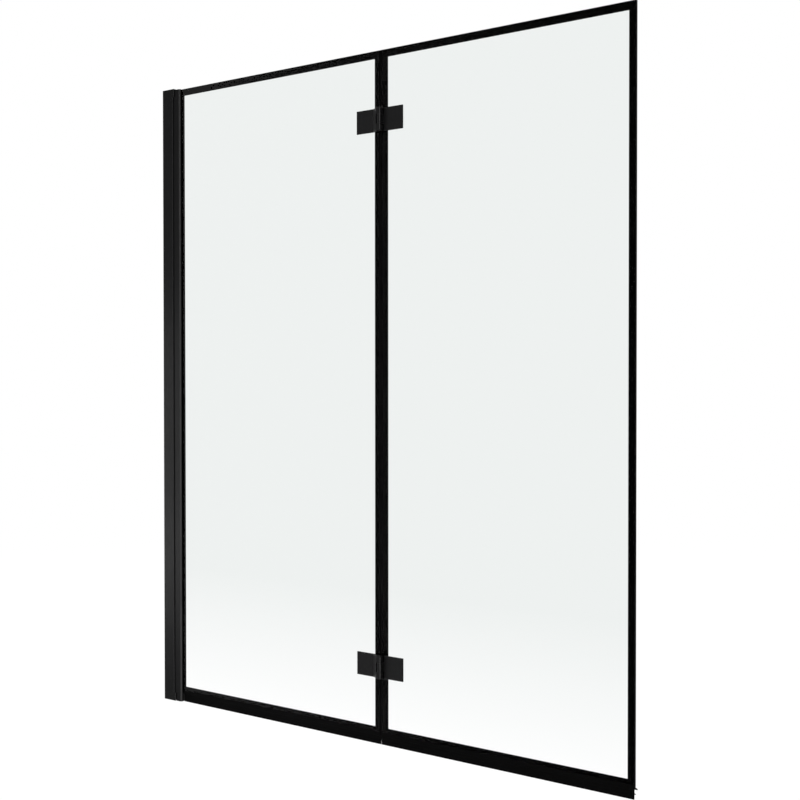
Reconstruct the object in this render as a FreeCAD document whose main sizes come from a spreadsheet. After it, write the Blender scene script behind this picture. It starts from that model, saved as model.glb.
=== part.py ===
import FreeCAD, Part

import math
import os

import Sketcher

# Folding bath screen: a fixed glass panel in a telescoping wall profile and an outer panel on two hinges.
# X runs along the screen from the wall, Y from the room towards the bath, Z up. The origin is on the wall,
# at the middle screw hole of the wall profile, in the mid-plane of the glass. All lengths are millimetres.

SIZES = (
    # Glass
    ("screen_height", 1400, "bath rim to the top of the wall cap"),
    ("glass_thick", 6, "toughened glass"),
    ("inner_glass_wide", 585, "fixed pane"),
    ("outer_glass_wide", 566, "folding pane"),
    ("panel_gap", 4, "between the two panes"),
    ("glass_above_rim", 19, "lower edge of both panes above the bath rim"),
    ("glass_arris", 0.5, "ground edge of the glass"),
    ("print_wide", 15, "glass edge to the inner edge of the black enamel band"),
    ("print_inset", 0.7, "glass edge to the outer edge of the band"),
    ("print_thick", 0.15, "enamel let into the bath side of the glass"),
    # Wall profile
    ("wall_profile_deep", 23, "room side to bath side"),
    ("wall_profile_long", 32, "wall to its free edge"),
    ("wall_flange", 2.2, "side walls of the wall profile"),
    ("wall_web", 2.2, "back wall that lies on the wall"),
    ("wall_bevel", 0.5, "broken free edges of the wall profile"),
    ("wall_hole_radius", 2.75, "holes for the wall screws"),
    ("wall_hole_end", 82, "end of the wall profile to its first wall screw"),
    ("wall_hole_count", 3, "wall screws"),
    ("width_travel", 20, "how far the glass profile pushes into the wall profile"),
    # End pieces of the wall profile
    ("cap_high", 18, "height of both end pieces"),
    ("cap_lip", 4, "how far they reach past the wall profile"),
    ("cap_plate", 1.7, "top of the upper cap"),
    ("cap_clear", 0.3, "running gap under the top of the upper cap"),
    ("tongue_reach", 13, "wall to the free face of the tongue in the profile"),
    ("tongue_long", 10, "tongue inside the wall profile"),
    ("tongue_side_gap", 2.8, "tongue to the side walls, room for the glass profile"),
    # Clamp screws that lock the width
    ("clamp_inset", 4, "screw axis from the free edge of the wall profile"),
    ("clamp_end", 112, "end of the wall profile to its first clamp screw"),
    ("clamp_count", 3, "clamp screws"),
    ("clamp_radius", 2, "shank"),
    ("clamp_head_radius", 3.6, "pan head"),
    ("clamp_head_high", 2.2, "pan head"),
    ("clamp_head_round", 0.7, "broken edge of the pan head"),
    ("clamp_tip_gap", 0.05, "shank to the glass profile"),
    ("clamp_socket", 2.5, "hexagon across flats"),
    ("clamp_socket_deep", 1.2, "hexagon depth"),
    # Glass profile
    ("glass_profile_show", 21, "from the wall profile to its free edge, at full width"),
    ("profile_overlap", 8, "tail inside the wall profile at full width"),
    ("slide_gap", 0.2, "glass profile to wall profile, each side"),
    ("glass_flange", 1.6, "side walls of the glass profile"),
    ("tail_deep", 13, "open tail of the glass profile"),
    ("glass_profile_web", 2, "wall between the tail and the glass channel"),
    ("profile_bevel", 2.6, "bevelled free edges of the glass profile"),
    ("mouth_lip", 3, "lips at the mouth of the glass channel"),
    ("mouth_room", 1.6, "glass face to the lip"),
    ("glass_bite", 8, "glass inside its channel"),
    ("end_plate", 1.6, "end caps of the glass profile"),
    ("end_plate_gap", 0.5, "end cap to the lip of the wall cap"),
    ("plug_long", 10, "plug of the end caps"),
    ("trim_clear", 0.1, "plastic and rubber parts in their seats"),
    ("spacer_high", 30, "blocks between glass edge and channel floor"),
    ("spacer_end", 262, "end of the wall profile to the middle of the first block"),
    ("spacer_count", 3, "blocks"),
    # Seals
    ("seal_leg", 7, "legs of the bottom seal on the glass"),
    ("seal_wall", 1.1, "wall of the bottom seal"),
    ("seal_web", 2, "web under the glass"),
    ("fin_reach", 8, "drip fin past the seal, on the bath side"),
    ("fin_fall", 4.5, "drop of the drip fin"),
    ("fin_thick", 1.1, "drip fin and lower fin"),
    ("small_fin_reach", 5, "lower fin past the blade"),
    ("small_fin_fall", 3, "drop of the lower fin"),
    ("small_fin_level", 8, "root of the lower fin under the glass"),
    ("blade_thick", 1.6, "blade that wipes the bath rim"),
    ("blade_offset", 1, "blade towards the room"),
    ("seal_clear", 1, "seals to the wall cap and to the free edge of the pane"),
    ("seal_parting", 2.2, "between the two bottom seals"),
    ("gap_seal_clear", 0.3, "gap seal to the fixed pane"),
    ("gap_seal_inset", 0.4, "gap seal within the thickness of the glass"),
    ("gap_seal_round", 2, "rounded nose of the gap seal"),
    # Hinges
    ("hinge_inset", 140, "hinge middle to the upper or lower edge of the glass"),
    ("leaf_reach", 58.5, "middle of the panel gap to the outer end of a leaf"),
    ("leaf_high", 46.5, "leaf height"),
    ("leaf_thick", 4, "metal of a leaf and of a back plate"),
    ("leaf_edge", 4, "back of the fixed leaf to the middle of the gap"),
    ("leaf_bevel", 1.2, "broken edges of the plates"),
    ("back_plate_wide", 22, "plate on the bath side, round the screws"),
    ("back_plate_high", 37, "plate on the bath side"),
    ("back_plate_round", 4, "corners of that plate"),
    ("pad_thick", 1, "rubber between plate and glass"),
    ("pad_inset", 0.8, "pad inside the outline of its plate"),
    ("pin_side", 6, "pin axis from the middle of the gap, over the folding pane"),
    ("fold_clear", 1, "folded leaf over the knuckle"),
    ("knuckle_half", 5, "half the width of a knuckle"),
    ("knuckle_round", 1.6, "rounded front corner of a knuckle"),
    ("ramp_foot", 15, "foot of the ramp from the middle of the gap"),
    ("relief_gap", 0.3, "fixed leaf round the turning knuckle"),
    ("plate_gap", 0.5, "turning plate to the knuckles"),
    ("turning_knuckle_high", 17.5, "middle knuckle"),
    ("washer_thick", 0.5, "nylon washers between the knuckles"),
    ("washer_radius", 4.7, "nylon washers"),
    ("axial_gap", 0.1, "play beside each washer"),
    ("pin_radius", 2.5, "hinge pin"),
    ("pin_recess", 0.3, "pin ends below the knuckle faces"),
    ("pin_chamfer", 0.4, "pin ends"),
    ("pin_fit", 0.02, "pin in the fixed knuckles, bush in its knuckle"),
    ("bush_wall", 1, "bush round the pin"),
    ("bush_gap", 0.05, "pin in the bush"),
    # Screws through the glass
    ("screw_reach", 34, "screws from the middle of the gap"),
    ("screw_pitch", 20, "between the screws of a leaf"),
    ("screw_count", 2, "screws of a leaf"),
    ("screw_radius", 2.5, "shank"),
    ("screw_head_radius", 4.6, "countersunk head"),
    ("screw_hole_gap", 0.2, "shank in the back plate"),
    ("thread_gap", 0.05, "shank in the boss"),
    ("screw_tip_gap", 0.5, "screw tip to the bottom of its hole"),
    ("blind_skin", 1.2, "metal left under the screw hole"),
    ("screw_socket", 3, "hexagon across flats"),
    ("screw_socket_deep", 1.8, "hexagon depth"),
    ("boss_wall", 2, "boss round the screw"),
    ("boss_short", 1.5, "boss end inside the glass"),
    ("glass_hole_radius", 6.2, "holes in the glass"),
    ("sleeve_gap", 0.1, "sleeve to boss and to glass"),
    # Cutting tools pass through what they cut by this much
    ("overrun", 1, "tools past the metal"),
)

PLACES = (
    ("rim", "-Sizes.screen_height / 2", "bath rim"),
    ("cap_top", "Sizes.screen_height / 2", "top of the wall cap"),
    ("half_glass", "Sizes.glass_thick / 2", "mid-plane to a glass face"),
    ("glass_low", "rim + Sizes.glass_above_rim", "lower edge of the panes"),
    ("glass_high", "cap_top - Sizes.cap_plate - Sizes.cap_clear", "upper edge of the panes"),
    ("glass_tall", "glass_high - glass_low", "pane height"),
    ("wall_half", "Sizes.wall_profile_deep / 2", "mid-plane to the face of the wall profile"),
    ("wall_inner", "wall_half - Sizes.wall_flange", "mid-plane to the inside of the wall profile"),
    ("metal_tall", "Sizes.screen_height - 2 * Sizes.cap_high", "length of the wall profile"),
    ("wall_hole_pitch", "(metal_tall - 2 * Sizes.wall_hole_end) / (Sizes.wall_hole_count - 1)", "screws"),
    ("clamp_pitch", "(metal_tall - 2 * Sizes.clamp_end) / (Sizes.clamp_count - 1)", "clamp screws"),
    ("spacer_pitch", "(metal_tall - 2 * Sizes.spacer_end) / (Sizes.spacer_count - 1)", "edge spacers"),
    ("lip_end", "Sizes.wall_profile_long + Sizes.cap_lip", "free edge of the wall caps"),
    ("profile_reach", "Sizes.wall_profile_long + Sizes.glass_profile_show", "free edge of the glass profile"),
    ("tail_start", "Sizes.wall_profile_long - Sizes.profile_overlap", "hidden end of the glass profile"),
    ("slim_half", "wall_inner - Sizes.slide_gap", "mid-plane to the face of the glass profile"),
    ("channel_half", "slim_half - Sizes.glass_flange", "mid-plane to the inside of the glass profile"),
    ("web_start", "tail_start + Sizes.tail_deep", "web of the glass profile"),
    ("channel_floor", "web_start + Sizes.glass_profile_web", "floor of the glass channel"),
    ("mouth_half", "half_glass + Sizes.mouth_room", "mid-plane to a mouth lip"),
    ("lip_start", "profile_reach - Sizes.mouth_lip", "hidden side of the mouth lips"),
    ("inner_left", "profile_reach - Sizes.glass_bite", "fixed pane, wall edge"),
    ("inner_right", "inner_left + Sizes.inner_glass_wide", "fixed pane, hinge edge"),
    ("gap_middle", "inner_right + Sizes.panel_gap / 2", "middle of the panel gap"),
    ("outer_left", "inner_right + Sizes.panel_gap", "folding pane, hinge edge"),
    ("outer_right", "outer_left + Sizes.outer_glass_wide", "folding pane, free edge"),
    ("inner_seal_start", "lip_end + Sizes.width_travel + Sizes.seal_clear", "inner bottom seal"),
    ("inner_seal_end", "gap_middle - Sizes.seal_parting / 2", "inner bottom seal"),
    ("outer_seal_start", "gap_middle + Sizes.seal_parting / 2", "outer bottom seal"),
    ("leaf_back", "half_glass + Sizes.pad_thick", "mid-plane to the glass side of a plate"),
    ("leaf_front", "leaf_back + Sizes.leaf_thick", "mid-plane to the outer side of a plate"),
    ("pin_out", "leaf_front + Sizes.knuckle_half + Sizes.fold_clear", "mid-plane to the pin axis"),
    ("knuckle_left", "Sizes.pin_side - Sizes.knuckle_half", "knuckle, towards the wall"),
    ("knuckle_right", "Sizes.pin_side + Sizes.knuckle_half", "knuckle, towards the free edge"),
    ("knuckle_front", "pin_out + Sizes.knuckle_half", "mid-plane to the front of a knuckle"),
    ("knuckle_rear", "pin_out - Sizes.knuckle_half", "mid-plane to the back of a knuckle"),
    ("plate_start", "knuckle_right + Sizes.plate_gap", "turning plate, hinge end"),
    ("turning_half", "Sizes.turning_knuckle_high / 2", "half the middle knuckle"),
    ("slot_half", "turning_half + Sizes.washer_thick + 2 * Sizes.axial_gap", "half the fixed leaf's slot"),
    ("back_near", "Sizes.screw_reach - Sizes.back_plate_wide / 2", "gap middle to a back plate"),
    ("back_far", "Sizes.screw_reach + Sizes.back_plate_wide / 2", "gap middle to its other end"),
    ("bush_radius", "Sizes.pin_radius + Sizes.bush_gap + Sizes.bush_wall", "outside of the bush"),
    ("boss_radius", "Sizes.screw_radius + Sizes.boss_wall", "outside of a boss"),
)

# Lengths that differ by less than this are the same
SAME = 1e-4

doc = FreeCAD.newDocument("bath_screen")
nodes = []


def fill_sheet(name, rows, lead):
    """Writes one row for each named value: alias, content and note."""
    sheet = doc.addObject("Spreadsheet::Sheet", name)
    for number, (alias, content, note) in enumerate(rows, 1):
        sheet.set(f"A{number}", alias)
        sheet.set(f"B{number}", lead + str(content))
        sheet.setAlias(f"B{number}", alias)
        sheet.set(f"C{number}", note)
    return sheet


def amount(owner, text):
    """The plain number that an expression on the sheets gives."""
    value = owner.evalExpression(text)
    return float(getattr(value, "Value", value))


def new_body(label, x="0", y="0", z="0"):
    """An empty body, which becomes a node of the part, with its own origin at the given place."""
    body = doc.addObject("PartDesign::Body", label)
    body.Label = label
    for axis, text in (("x", x), ("y", y), ("z", z)):
        body.setExpression(f"Placement.Base.{axis}", text)
    nodes.append(body)
    return body


def own(body, role):
    """One of the body's own origin planes or axes."""
    return next(item for item in body.Origin.OriginFeatures if item.Role == role)


def new_sketch(body, role, name, lift="0"):
    """An empty sketch on an origin plane of the body, lifted along the plane's normal."""
    sketch = body.newObject("Sketcher::SketchObject", f"{body.Name}_{name}")
    sketch.AttachmentSupport = (own(body, role), [""])
    sketch.MapMode = "FlatFace"
    sketch.setExpression("AttachmentOffset.Base.z", lift)
    return sketch


def tie_point(sketch, line, end, x, y):
    """Fixes one point of a sketch at two expressions."""
    for kind, text in (("DistanceX", x), ("DistanceY", y)):
        number = sketch.addConstraint(Sketcher.Constraint(kind, line, end, amount(sketch, text)))
        sketch.setExpression(f"Constraints[{number}]", text)


def add_polygon(sketch, corners):
    """A closed outline through corners that are pairs of expressions."""
    points = [FreeCAD.Vector(amount(sketch, x), amount(sketch, y), 0) for x, y in corners]
    first = sketch.GeometryCount
    sketch.addGeometry([Part.LineSegment(a, b) for a, b in zip(points, points[1:] + points[:1])], False)
    for step, (x, y) in enumerate(corners):
        before = first + (step - 1) % len(corners)
        sketch.addConstraint(Sketcher.Constraint("Coincident", before, 2, first + step, 1))
        tie_point(sketch, first + step, 1, x, y)


def add_rectangle(sketch, left, low, right, high):
    """A closed outline with sides along the sketch's axes."""
    add_polygon(sketch, ((left, low), (right, low), (right, high), (left, high)))


def add_circle(sketch, x, y, radius):
    """A circle whose centre and radius are expressions."""
    centre = FreeCAD.Vector(amount(sketch, x), amount(sketch, y), 0)
    ring = Part.Circle(centre, FreeCAD.Vector(0, 0, 1), amount(sketch, radius))
    line = sketch.addGeometry(ring, False)
    tie_point(sketch, line, 3, x, y)
    number = sketch.addConstraint(Sketcher.Constraint("Radius", line, amount(sketch, radius)))
    sketch.setExpression(f"Constraints[{number}]", radius)


def add_screw_circles(sketch, x, radius, middle="0"):
    """One circle for each screw of a leaf, around the given height."""
    for number in range(int(amount(sketch, "Sizes.screw_count"))):
        height = f"{middle} + ({number} - (Sizes.screw_count - 1) / 2) * Sizes.screw_pitch"
        add_circle(sketch, x, height, radius)


def add_hexagon(sketch, across):
    """A hexagon round the sketch's origin, given by its width across flats."""
    sides = 6
    corner = f"({across} / sqrt(3))"
    turns = [step * 360 / sides for step in range(sides)]
    add_polygon(sketch, [(f"{corner} * cos({turn} deg)", f"{corner} * sin({turn} deg)") for turn in turns])


def finish(body, feature):
    """Makes a feature the body's result."""
    body.Tip = feature
    doc.recompute()
    return feature


def pad(body, sketch, length, both=False, back=False):
    """Extrudes a sketch along its normal, half to each side with both, the other way with back."""
    feature = body.newObject("PartDesign::Pad", f"{sketch.Name}_pad")
    feature.Profile = sketch
    feature.setExpression("Length", length)
    feature.SideType = "Symmetric" if both else "One side"
    feature.Reversed = back
    return finish(body, feature)


def pocket(body, sketch, length, both=False, back=False):
    """Cuts a sketch out of the body against its normal, and stops the build where it meets nothing."""
    before = body.Shape.Volume
    feature = body.newObject("PartDesign::Pocket", f"{sketch.Name}_cut")
    feature.Profile = sketch
    feature.setExpression("Length", length)
    feature.SideType = "Symmetric" if both else "One side"
    feature.Reversed = back
    finish(body, feature)
    if not body.Shape.Volume < before:
        raise RuntimeError(f"{feature.Name} cuts nothing")
    return feature


def repeat(body, feature, pitch, count):
    """Copies a feature upwards."""
    pattern = body.newObject("PartDesign::LinearPattern", f"{feature.Name}_row")
    pattern.Originals = [feature]
    pattern.Direction = (own(body, "Z_Axis"), [""])
    pattern.Mode = "Spacing"
    pattern.setExpression("Offset", pitch)
    pattern.setExpression("Occurrences", count)
    return finish(body, pattern)


def repeat_all(body, pitch, count):
    """Copies the whole body upwards, as separate solids."""
    pattern = body.newObject("PartDesign::LinearPattern", f"{body.Name}_row")
    pattern.TransformMode = "Whole shape"
    pattern.Direction = (own(body, "Z_Axis"), [""])
    pattern.Mode = "Spacing"
    pattern.setExpression("Offset", pitch)
    pattern.setExpression("Occurrences", count)
    return finish(body, pattern)


def dress(body, kind, size, wanted):
    """Chamfers or fillets the edges that the test picks, and stops the build where that spoils the solid."""
    base = body.Tip
    names = [f"Edge{n}" for n, edge in enumerate(base.Shape.Edges, 1) if wanted(edge.CenterOfMass, edge)]
    if not names:
        raise RuntimeError(f"no edge to dress on {body.Name}")
    before = body.Shape.Volume
    feature = body.newObject(f"PartDesign::{kind}", f"{base.Name}_{kind.lower()}")
    feature.Base = (base, names)
    feature.setExpression("Radius" if kind == "Fillet" else "Size", size)
    finish(body, feature)
    if body.Shape.Volume < before / 2:
        raise RuntimeError(f"{feature.Name} spoils the solid")
    return feature


def near(one, two):
    """True where two lengths are the same."""
    return math.isclose(one, two, abs_tol=SAME)


def length_of(edge):
    """Size of an edge along X, Y and Z."""
    box = edge.BoundBox
    return box.XLength, box.YLength, box.ZLength


def spin(body, corners):
    """Turns a half outline, given as radius and place along Y, round the body's Y axis."""
    sketch = new_sketch(body, "XY_Plane", "half")
    add_polygon(sketch, corners)
    feature = body.newObject("PartDesign::Revolution", f"{body.Name}_turned")
    feature.Profile = sketch
    feature.ReferenceAxis = (sketch, ["V_Axis"])
    feature.Angle = 360
    return finish(body, feature)


def drive_socket(body, across, deep, level):
    """Cuts a hexagon socket into a screw head whose top is at the given place along Y."""
    sketch = new_sketch(body, "XZ_Plane", "socket", f"-({level})")
    add_hexagon(sketch, across)
    pocket(body, sketch, deep, back=True)


# Wall side


def make_wall_profile():
    """Channel screwed to the wall, open towards the glass."""
    body = new_body("wall_profile")
    section = new_sketch(body, "XY_Plane", "section")
    bevel_x = "Sizes.wall_profile_long - Sizes.wall_bevel"
    bevel_y = "(Places.wall_half - Sizes.wall_bevel)"
    add_polygon(section, (
        ("0", "-Places.wall_half"),
        (bevel_x, "-Places.wall_half"),
        ("Sizes.wall_profile_long", f"-{bevel_y}"),
        ("Sizes.wall_profile_long", "-Places.wall_inner"),
        ("Sizes.wall_web", "-Places.wall_inner"),
        ("Sizes.wall_web", "Places.wall_inner"),
        ("Sizes.wall_profile_long", "Places.wall_inner"),
        ("Sizes.wall_profile_long", bevel_y),
        (bevel_x, "Places.wall_half"),
        ("0", "Places.wall_half"),
    ))
    pad(body, section, "Places.metal_tall", both=True)
    wall_hole = new_sketch(body, "YZ_Plane", "wall_hole")
    lowest = "-Places.wall_hole_pitch * (Sizes.wall_hole_count - 1) / 2"
    add_circle(wall_hole, "0", lowest, "Sizes.wall_hole_radius")
    first_hole = pocket(body, wall_hole, "Sizes.wall_web + Sizes.overrun", back=True)
    repeat(body, first_hole, "Places.wall_hole_pitch", "Sizes.wall_hole_count")
    clamp_hole = new_sketch(body, "XZ_Plane", "clamp_hole", "-Places.wall_half")
    add_circle(clamp_hole, "Sizes.wall_profile_long - Sizes.clamp_inset",
               "-Places.clamp_pitch * (Sizes.clamp_count - 1) / 2", "Sizes.clamp_radius + Sizes.thread_gap")
    first_clamp = pocket(body, clamp_hole, "Sizes.wall_flange", back=True)
    repeat(body, first_clamp, "Places.clamp_pitch", "Sizes.clamp_count")


def make_wall_end(label, top):
    """End piece of the wall profile, with lips that cover the joint to the glass profile and a tongue."""
    body = new_body(label, z="Places.cap_top" if top else "Places.rim")
    block = new_sketch(body, "XY_Plane", "block")
    add_rectangle(block, "0", "-Places.wall_half", "Places.lip_end", "Places.wall_half")
    pad(body, block, "Sizes.cap_high", back=top)
    dress(body, "Chamfer", "Sizes.wall_bevel", lambda middle, edge: length_of(edge)[2] > 0 and middle.x > 0)
    hollow = new_sketch(body, "XY_Plane", "hollow", "-Sizes.cap_plate" if top else "0")
    add_rectangle(hollow, "Sizes.wall_web", "-Places.wall_inner",
                  "Places.lip_end + Sizes.overrun", "Places.wall_inner")
    pocket(body, hollow, "Sizes.cap_high + Sizes.overrun", back=not top)
    tongue = new_sketch(body, "XY_Plane", "tongue")
    side = "(Places.wall_inner - Sizes.tongue_side_gap)"
    add_rectangle(tongue, "Sizes.wall_web", f"-{side}", "Sizes.tongue_reach", side)
    pad(body, tongue, "Sizes.cap_high + Sizes.tongue_long", back=top)


def make_clamp_screws():
    """Pan head screws that press on the tail of the glass profile and lock the width."""
    body = new_body("clamp_screws", "Sizes.wall_profile_long - Sizes.clamp_inset", "Places.wall_half",
                    "-Places.clamp_pitch * (Sizes.clamp_count - 1) / 2")
    shank = "-(Sizes.wall_flange + Sizes.slide_gap - Sizes.clamp_tip_gap)"
    spin(body, (
        ("0", shank),
        ("Sizes.clamp_radius", shank),
        ("Sizes.clamp_radius", "0"),
        ("Sizes.clamp_head_radius", "0"),
        ("Sizes.clamp_head_radius", "Sizes.clamp_head_high - Sizes.clamp_head_round"),
        ("Sizes.clamp_head_radius - Sizes.clamp_head_round", "Sizes.clamp_head_high"),
        ("0", "Sizes.clamp_head_high"),
    ))
    drive_socket(body, "Sizes.clamp_socket", "Sizes.clamp_socket_deep", "Sizes.clamp_head_high")
    repeat_all(body, "Places.clamp_pitch", "Sizes.clamp_count")


# Glass profile and what it holds


def make_glass_profile():
    """Slimmer profile that slides in the wall profile: open tail, web, and a channel with mouth lips."""
    body = new_body("glass_profile", z="Places.rim + Sizes.end_plate")
    section = new_sketch(body, "XY_Plane", "section")
    reach = "Places.profile_reach"
    bevel_x = f"{reach} - Sizes.profile_bevel"
    bevel_y = "(Places.slim_half - Sizes.profile_bevel)"
    room_side = (
        ("Places.tail_start", "-Places.slim_half"),
        (bevel_x, "-Places.slim_half"),
        (reach, f"-{bevel_y}"),
        (reach, "-Places.mouth_half"),
        ("Places.lip_start", "-Places.mouth_half"),
        ("Places.lip_start", "-Places.channel_half"),
        ("Places.channel_floor", "-Places.channel_half"),
    )
    bath_side = (
        ("Places.channel_floor", "Places.channel_half"),
        ("Places.lip_start", "Places.channel_half"),
        ("Places.lip_start", "Places.mouth_half"),
        (reach, "Places.mouth_half"),
        (reach, bevel_y),
        (bevel_x, "Places.slim_half"),
        ("Places.tail_start", "Places.slim_half"),
    )
    tail = (
        ("Places.tail_start", "Places.channel_half"),
        ("Places.web_start", "Places.channel_half"),
        ("Places.web_start", "-Places.channel_half"),
        ("Places.tail_start", "-Places.channel_half"),
    )
    add_polygon(section, room_side + bath_side + tail)
    pad(body, section, "Places.glass_high - Places.rim - 2 * Sizes.end_plate")


def make_profile_end(label, top):
    """End cap of the glass profile with a plug in its channel. The top one is slotted for the glass."""
    body = new_body(label, z="Places.glass_high" if top else "Places.rim")
    reach = "Places.profile_reach"
    bevel_x = f"{reach} - Sizes.profile_bevel"
    bevel_y = "(Places.slim_half - Sizes.profile_bevel)"
    start = "Places.lip_end + Sizes.end_plate_gap"
    plate = new_sketch(body, "XY_Plane", "plate")
    add_polygon(plate, (
        (start, "-Places.slim_half"),
        (bevel_x, "-Places.slim_half"),
        (reach, f"-{bevel_y}"),
        (reach, bevel_y),
        (bevel_x, "Places.slim_half"),
        (start, "Places.slim_half"),
    ))
    pad(body, plate, "Sizes.end_plate", back=top)
    if top:
        slot = new_sketch(body, "XY_Plane", "slot")
        side = "(Places.half_glass + Sizes.trim_clear)"
        start = "Places.inner_left - Sizes.trim_clear"
        add_rectangle(slot, start, f"-{side}", f"{reach} + Sizes.overrun", side)
        pocket(body, slot, "Sizes.end_plate + Sizes.overrun")
    plug = new_sketch(body, "XY_Plane", "plug")
    side = "(Places.channel_half - Sizes.trim_clear)"
    add_rectangle(plug, "Places.channel_floor + Sizes.trim_clear", f"-{side}",
                  "Places.inner_left - Sizes.trim_clear", side)
    pad(body, plug, "Sizes.end_plate + Sizes.plug_long", back=top)


def make_gasket(label, side):
    """Glazing gasket between the glass and one side wall of the channel, locked behind the mouth lip."""
    body = new_body(label, z="Places.rim + Sizes.end_plate")
    section = new_sketch(body, "XY_Plane", "section")
    start = "Places.inner_left + Sizes.trim_clear"
    behind = "Places.lip_start - Sizes.trim_clear"
    lip = f"{side}(Places.mouth_half - Sizes.trim_clear)"
    root = f"{side}(Places.channel_half - Sizes.trim_clear)"
    add_polygon(section, (
        (start, f"{side}Places.half_glass"),
        ("Places.profile_reach", f"{side}Places.half_glass"),
        ("Places.profile_reach", lip),
        (behind, lip),
        (behind, root),
        (start, root),
    ))
    pad(body, section, "Places.glass_high - Places.rim - 2 * Sizes.end_plate")


def make_setting_block():
    """Block that carries the fixed pane on the lower end cap."""
    body = new_body("setting_block", z="Places.rim + Sizes.end_plate")
    outline = new_sketch(body, "XY_Plane", "outline")
    add_rectangle(outline, "Places.inner_left + Sizes.trim_clear", "-Places.half_glass + Sizes.trim_clear",
                  "Places.profile_reach - Sizes.trim_clear", "Places.half_glass - Sizes.trim_clear")
    pad(body, outline, "Sizes.glass_above_rim - Sizes.end_plate")


def make_edge_spacers():
    """Blocks between the edge of the fixed pane and the floor of the channel."""
    lowest = "-Places.spacer_pitch * (Sizes.spacer_count - 1) / 2"
    body = new_body("edge_spacers", z=f"{lowest} - Sizes.spacer_high / 2")
    outline = new_sketch(body, "XY_Plane", "outline")
    add_rectangle(outline, "Places.channel_floor + Sizes.trim_clear", "-Places.half_glass",
                  "Places.inner_left - Sizes.trim_clear", "Places.half_glass")
    pad(body, outline, "Sizes.spacer_high")
    repeat_all(body, "Places.spacer_pitch", "Sizes.spacer_count")


# Panes


def add_band(sketch, left, right):
    """Outline of the enamel band: a frame along the ground edge of a pane."""
    add_rectangle(sketch, f"{left} + Sizes.print_inset", "Places.glass_low + Sizes.print_inset",
                  f"{right} - Sizes.print_inset", "Places.glass_high - Sizes.print_inset")
    add_rectangle(sketch, f"{left} + Sizes.print_wide", "Places.glass_low + Sizes.print_wide",
                  f"{right} - Sizes.print_wide", "Places.glass_high - Sizes.print_wide")


def make_pane(label, left, right, holes_x):
    """Glass pane with ground edges, a shallow rebate for the enamel and four holes for the hinge screws."""
    body = new_body(label)
    outline = new_sketch(body, "XZ_Plane", "outline")
    add_rectangle(outline, left, "Places.glass_low", right, "Places.glass_high")
    pad(body, outline, "Sizes.glass_thick", both=True)
    dress(body, "Chamfer", "Sizes.glass_arris", lambda middle, edge: near(length_of(edge)[1], 0))
    rebate = new_sketch(body, "XZ_Plane", "rebate", "-Places.half_glass")
    add_band(rebate, left, right)
    pocket(body, rebate, "Sizes.print_thick", back=True)
    holes = new_sketch(body, "XZ_Plane", "holes")
    for hinge in HINGES.values():
        add_screw_circles(holes, holes_x, "Sizes.glass_hole_radius", hinge)
    pocket(body, holes, "Sizes.glass_thick + Sizes.overrun", both=True)


def make_band(label, left, right):
    """Black enamel band, flush with the bath side of its pane."""
    body = new_body(label)
    frame = new_sketch(body, "XZ_Plane", "frame", "-Places.half_glass")
    add_band(frame, left, right)
    pad(body, frame, "Sizes.print_thick")


# Seals


def make_bottom_seal(label, start, end):
    """Clip-on seal under a pane: two legs on the glass, a drip fin and a small fin, and a wiping blade."""
    body = new_body(label, x=start, z="Places.glass_low")
    section = new_sketch(body, "YZ_Plane", "section")
    outside = "(Places.half_glass + Sizes.seal_wall)"
    blade_room = "(-Sizes.blade_offset - Sizes.blade_thick / 2)"
    blade_bath = "(-Sizes.blade_offset + Sizes.blade_thick / 2)"
    fin_y = f"{outside} + Sizes.fin_reach"
    small_y = f"{blade_bath} + Sizes.small_fin_reach"
    small_z = "-Sizes.small_fin_level"
    add_polygon(section, (
        (f"-{outside}", "Sizes.seal_leg"),
        (f"-{outside}", "-Sizes.seal_web"),
        (blade_room, "-Sizes.seal_web"),
        (blade_room, "-Sizes.glass_above_rim"),
        (blade_bath, "-Sizes.glass_above_rim"),
        (blade_bath, f"{small_z} - Sizes.fin_thick"),
        (small_y, f"{small_z} - Sizes.fin_thick - Sizes.small_fin_fall"),
        (small_y, f"{small_z} - Sizes.small_fin_fall"),
        (blade_bath, small_z),
        (blade_bath, "-Sizes.seal_web"),
        (outside, "-Sizes.seal_web"),
        (outside, "-Sizes.fin_thick"),
        (fin_y, "-Sizes.fin_thick - Sizes.fin_fall"),
        (fin_y, "-Sizes.fin_fall"),
        (outside, "0"),
        (outside, "Sizes.seal_leg"),
        ("Places.half_glass", "Sizes.seal_leg"),
        ("Places.half_glass", "0"),
        ("-Places.half_glass", "0"),
        ("-Places.half_glass", "Sizes.seal_leg"),
    ))
    pad(body, section, f"{end} - ({start})")


def make_gap_seal():
    """Soft strip on the hinge edge of the folding pane, with a round nose towards the fixed pane."""
    body = new_body("gap_seal", z="Places.glass_low")
    section = new_sketch(body, "XY_Plane", "section")
    side = "(Places.half_glass - Sizes.gap_seal_inset)"
    nose = "Places.inner_right + Sizes.gap_seal_clear"
    add_rectangle(section, nose, f"-{side}", "Places.outer_left", side)
    pad(body, section, "Places.glass_tall")
    at = amount(body, nose)
    dress(body, "Fillet", "Sizes.gap_seal_round",
          lambda middle, edge: near(middle.x, at) and length_of(edge)[2] > 0)


# Hinges, each built round the middle of the panel gap at the height of the hinge


def bore_screws(body, x, radius, from_level, deep):
    """Cuts the screw holes of a plate, from a place along Y towards the room."""
    holes = new_sketch(body, "XZ_Plane", "screw_holes", f"-({from_level})")
    add_screw_circles(holes, x, radius)
    pocket(body, holes, deep, back=True)


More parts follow.
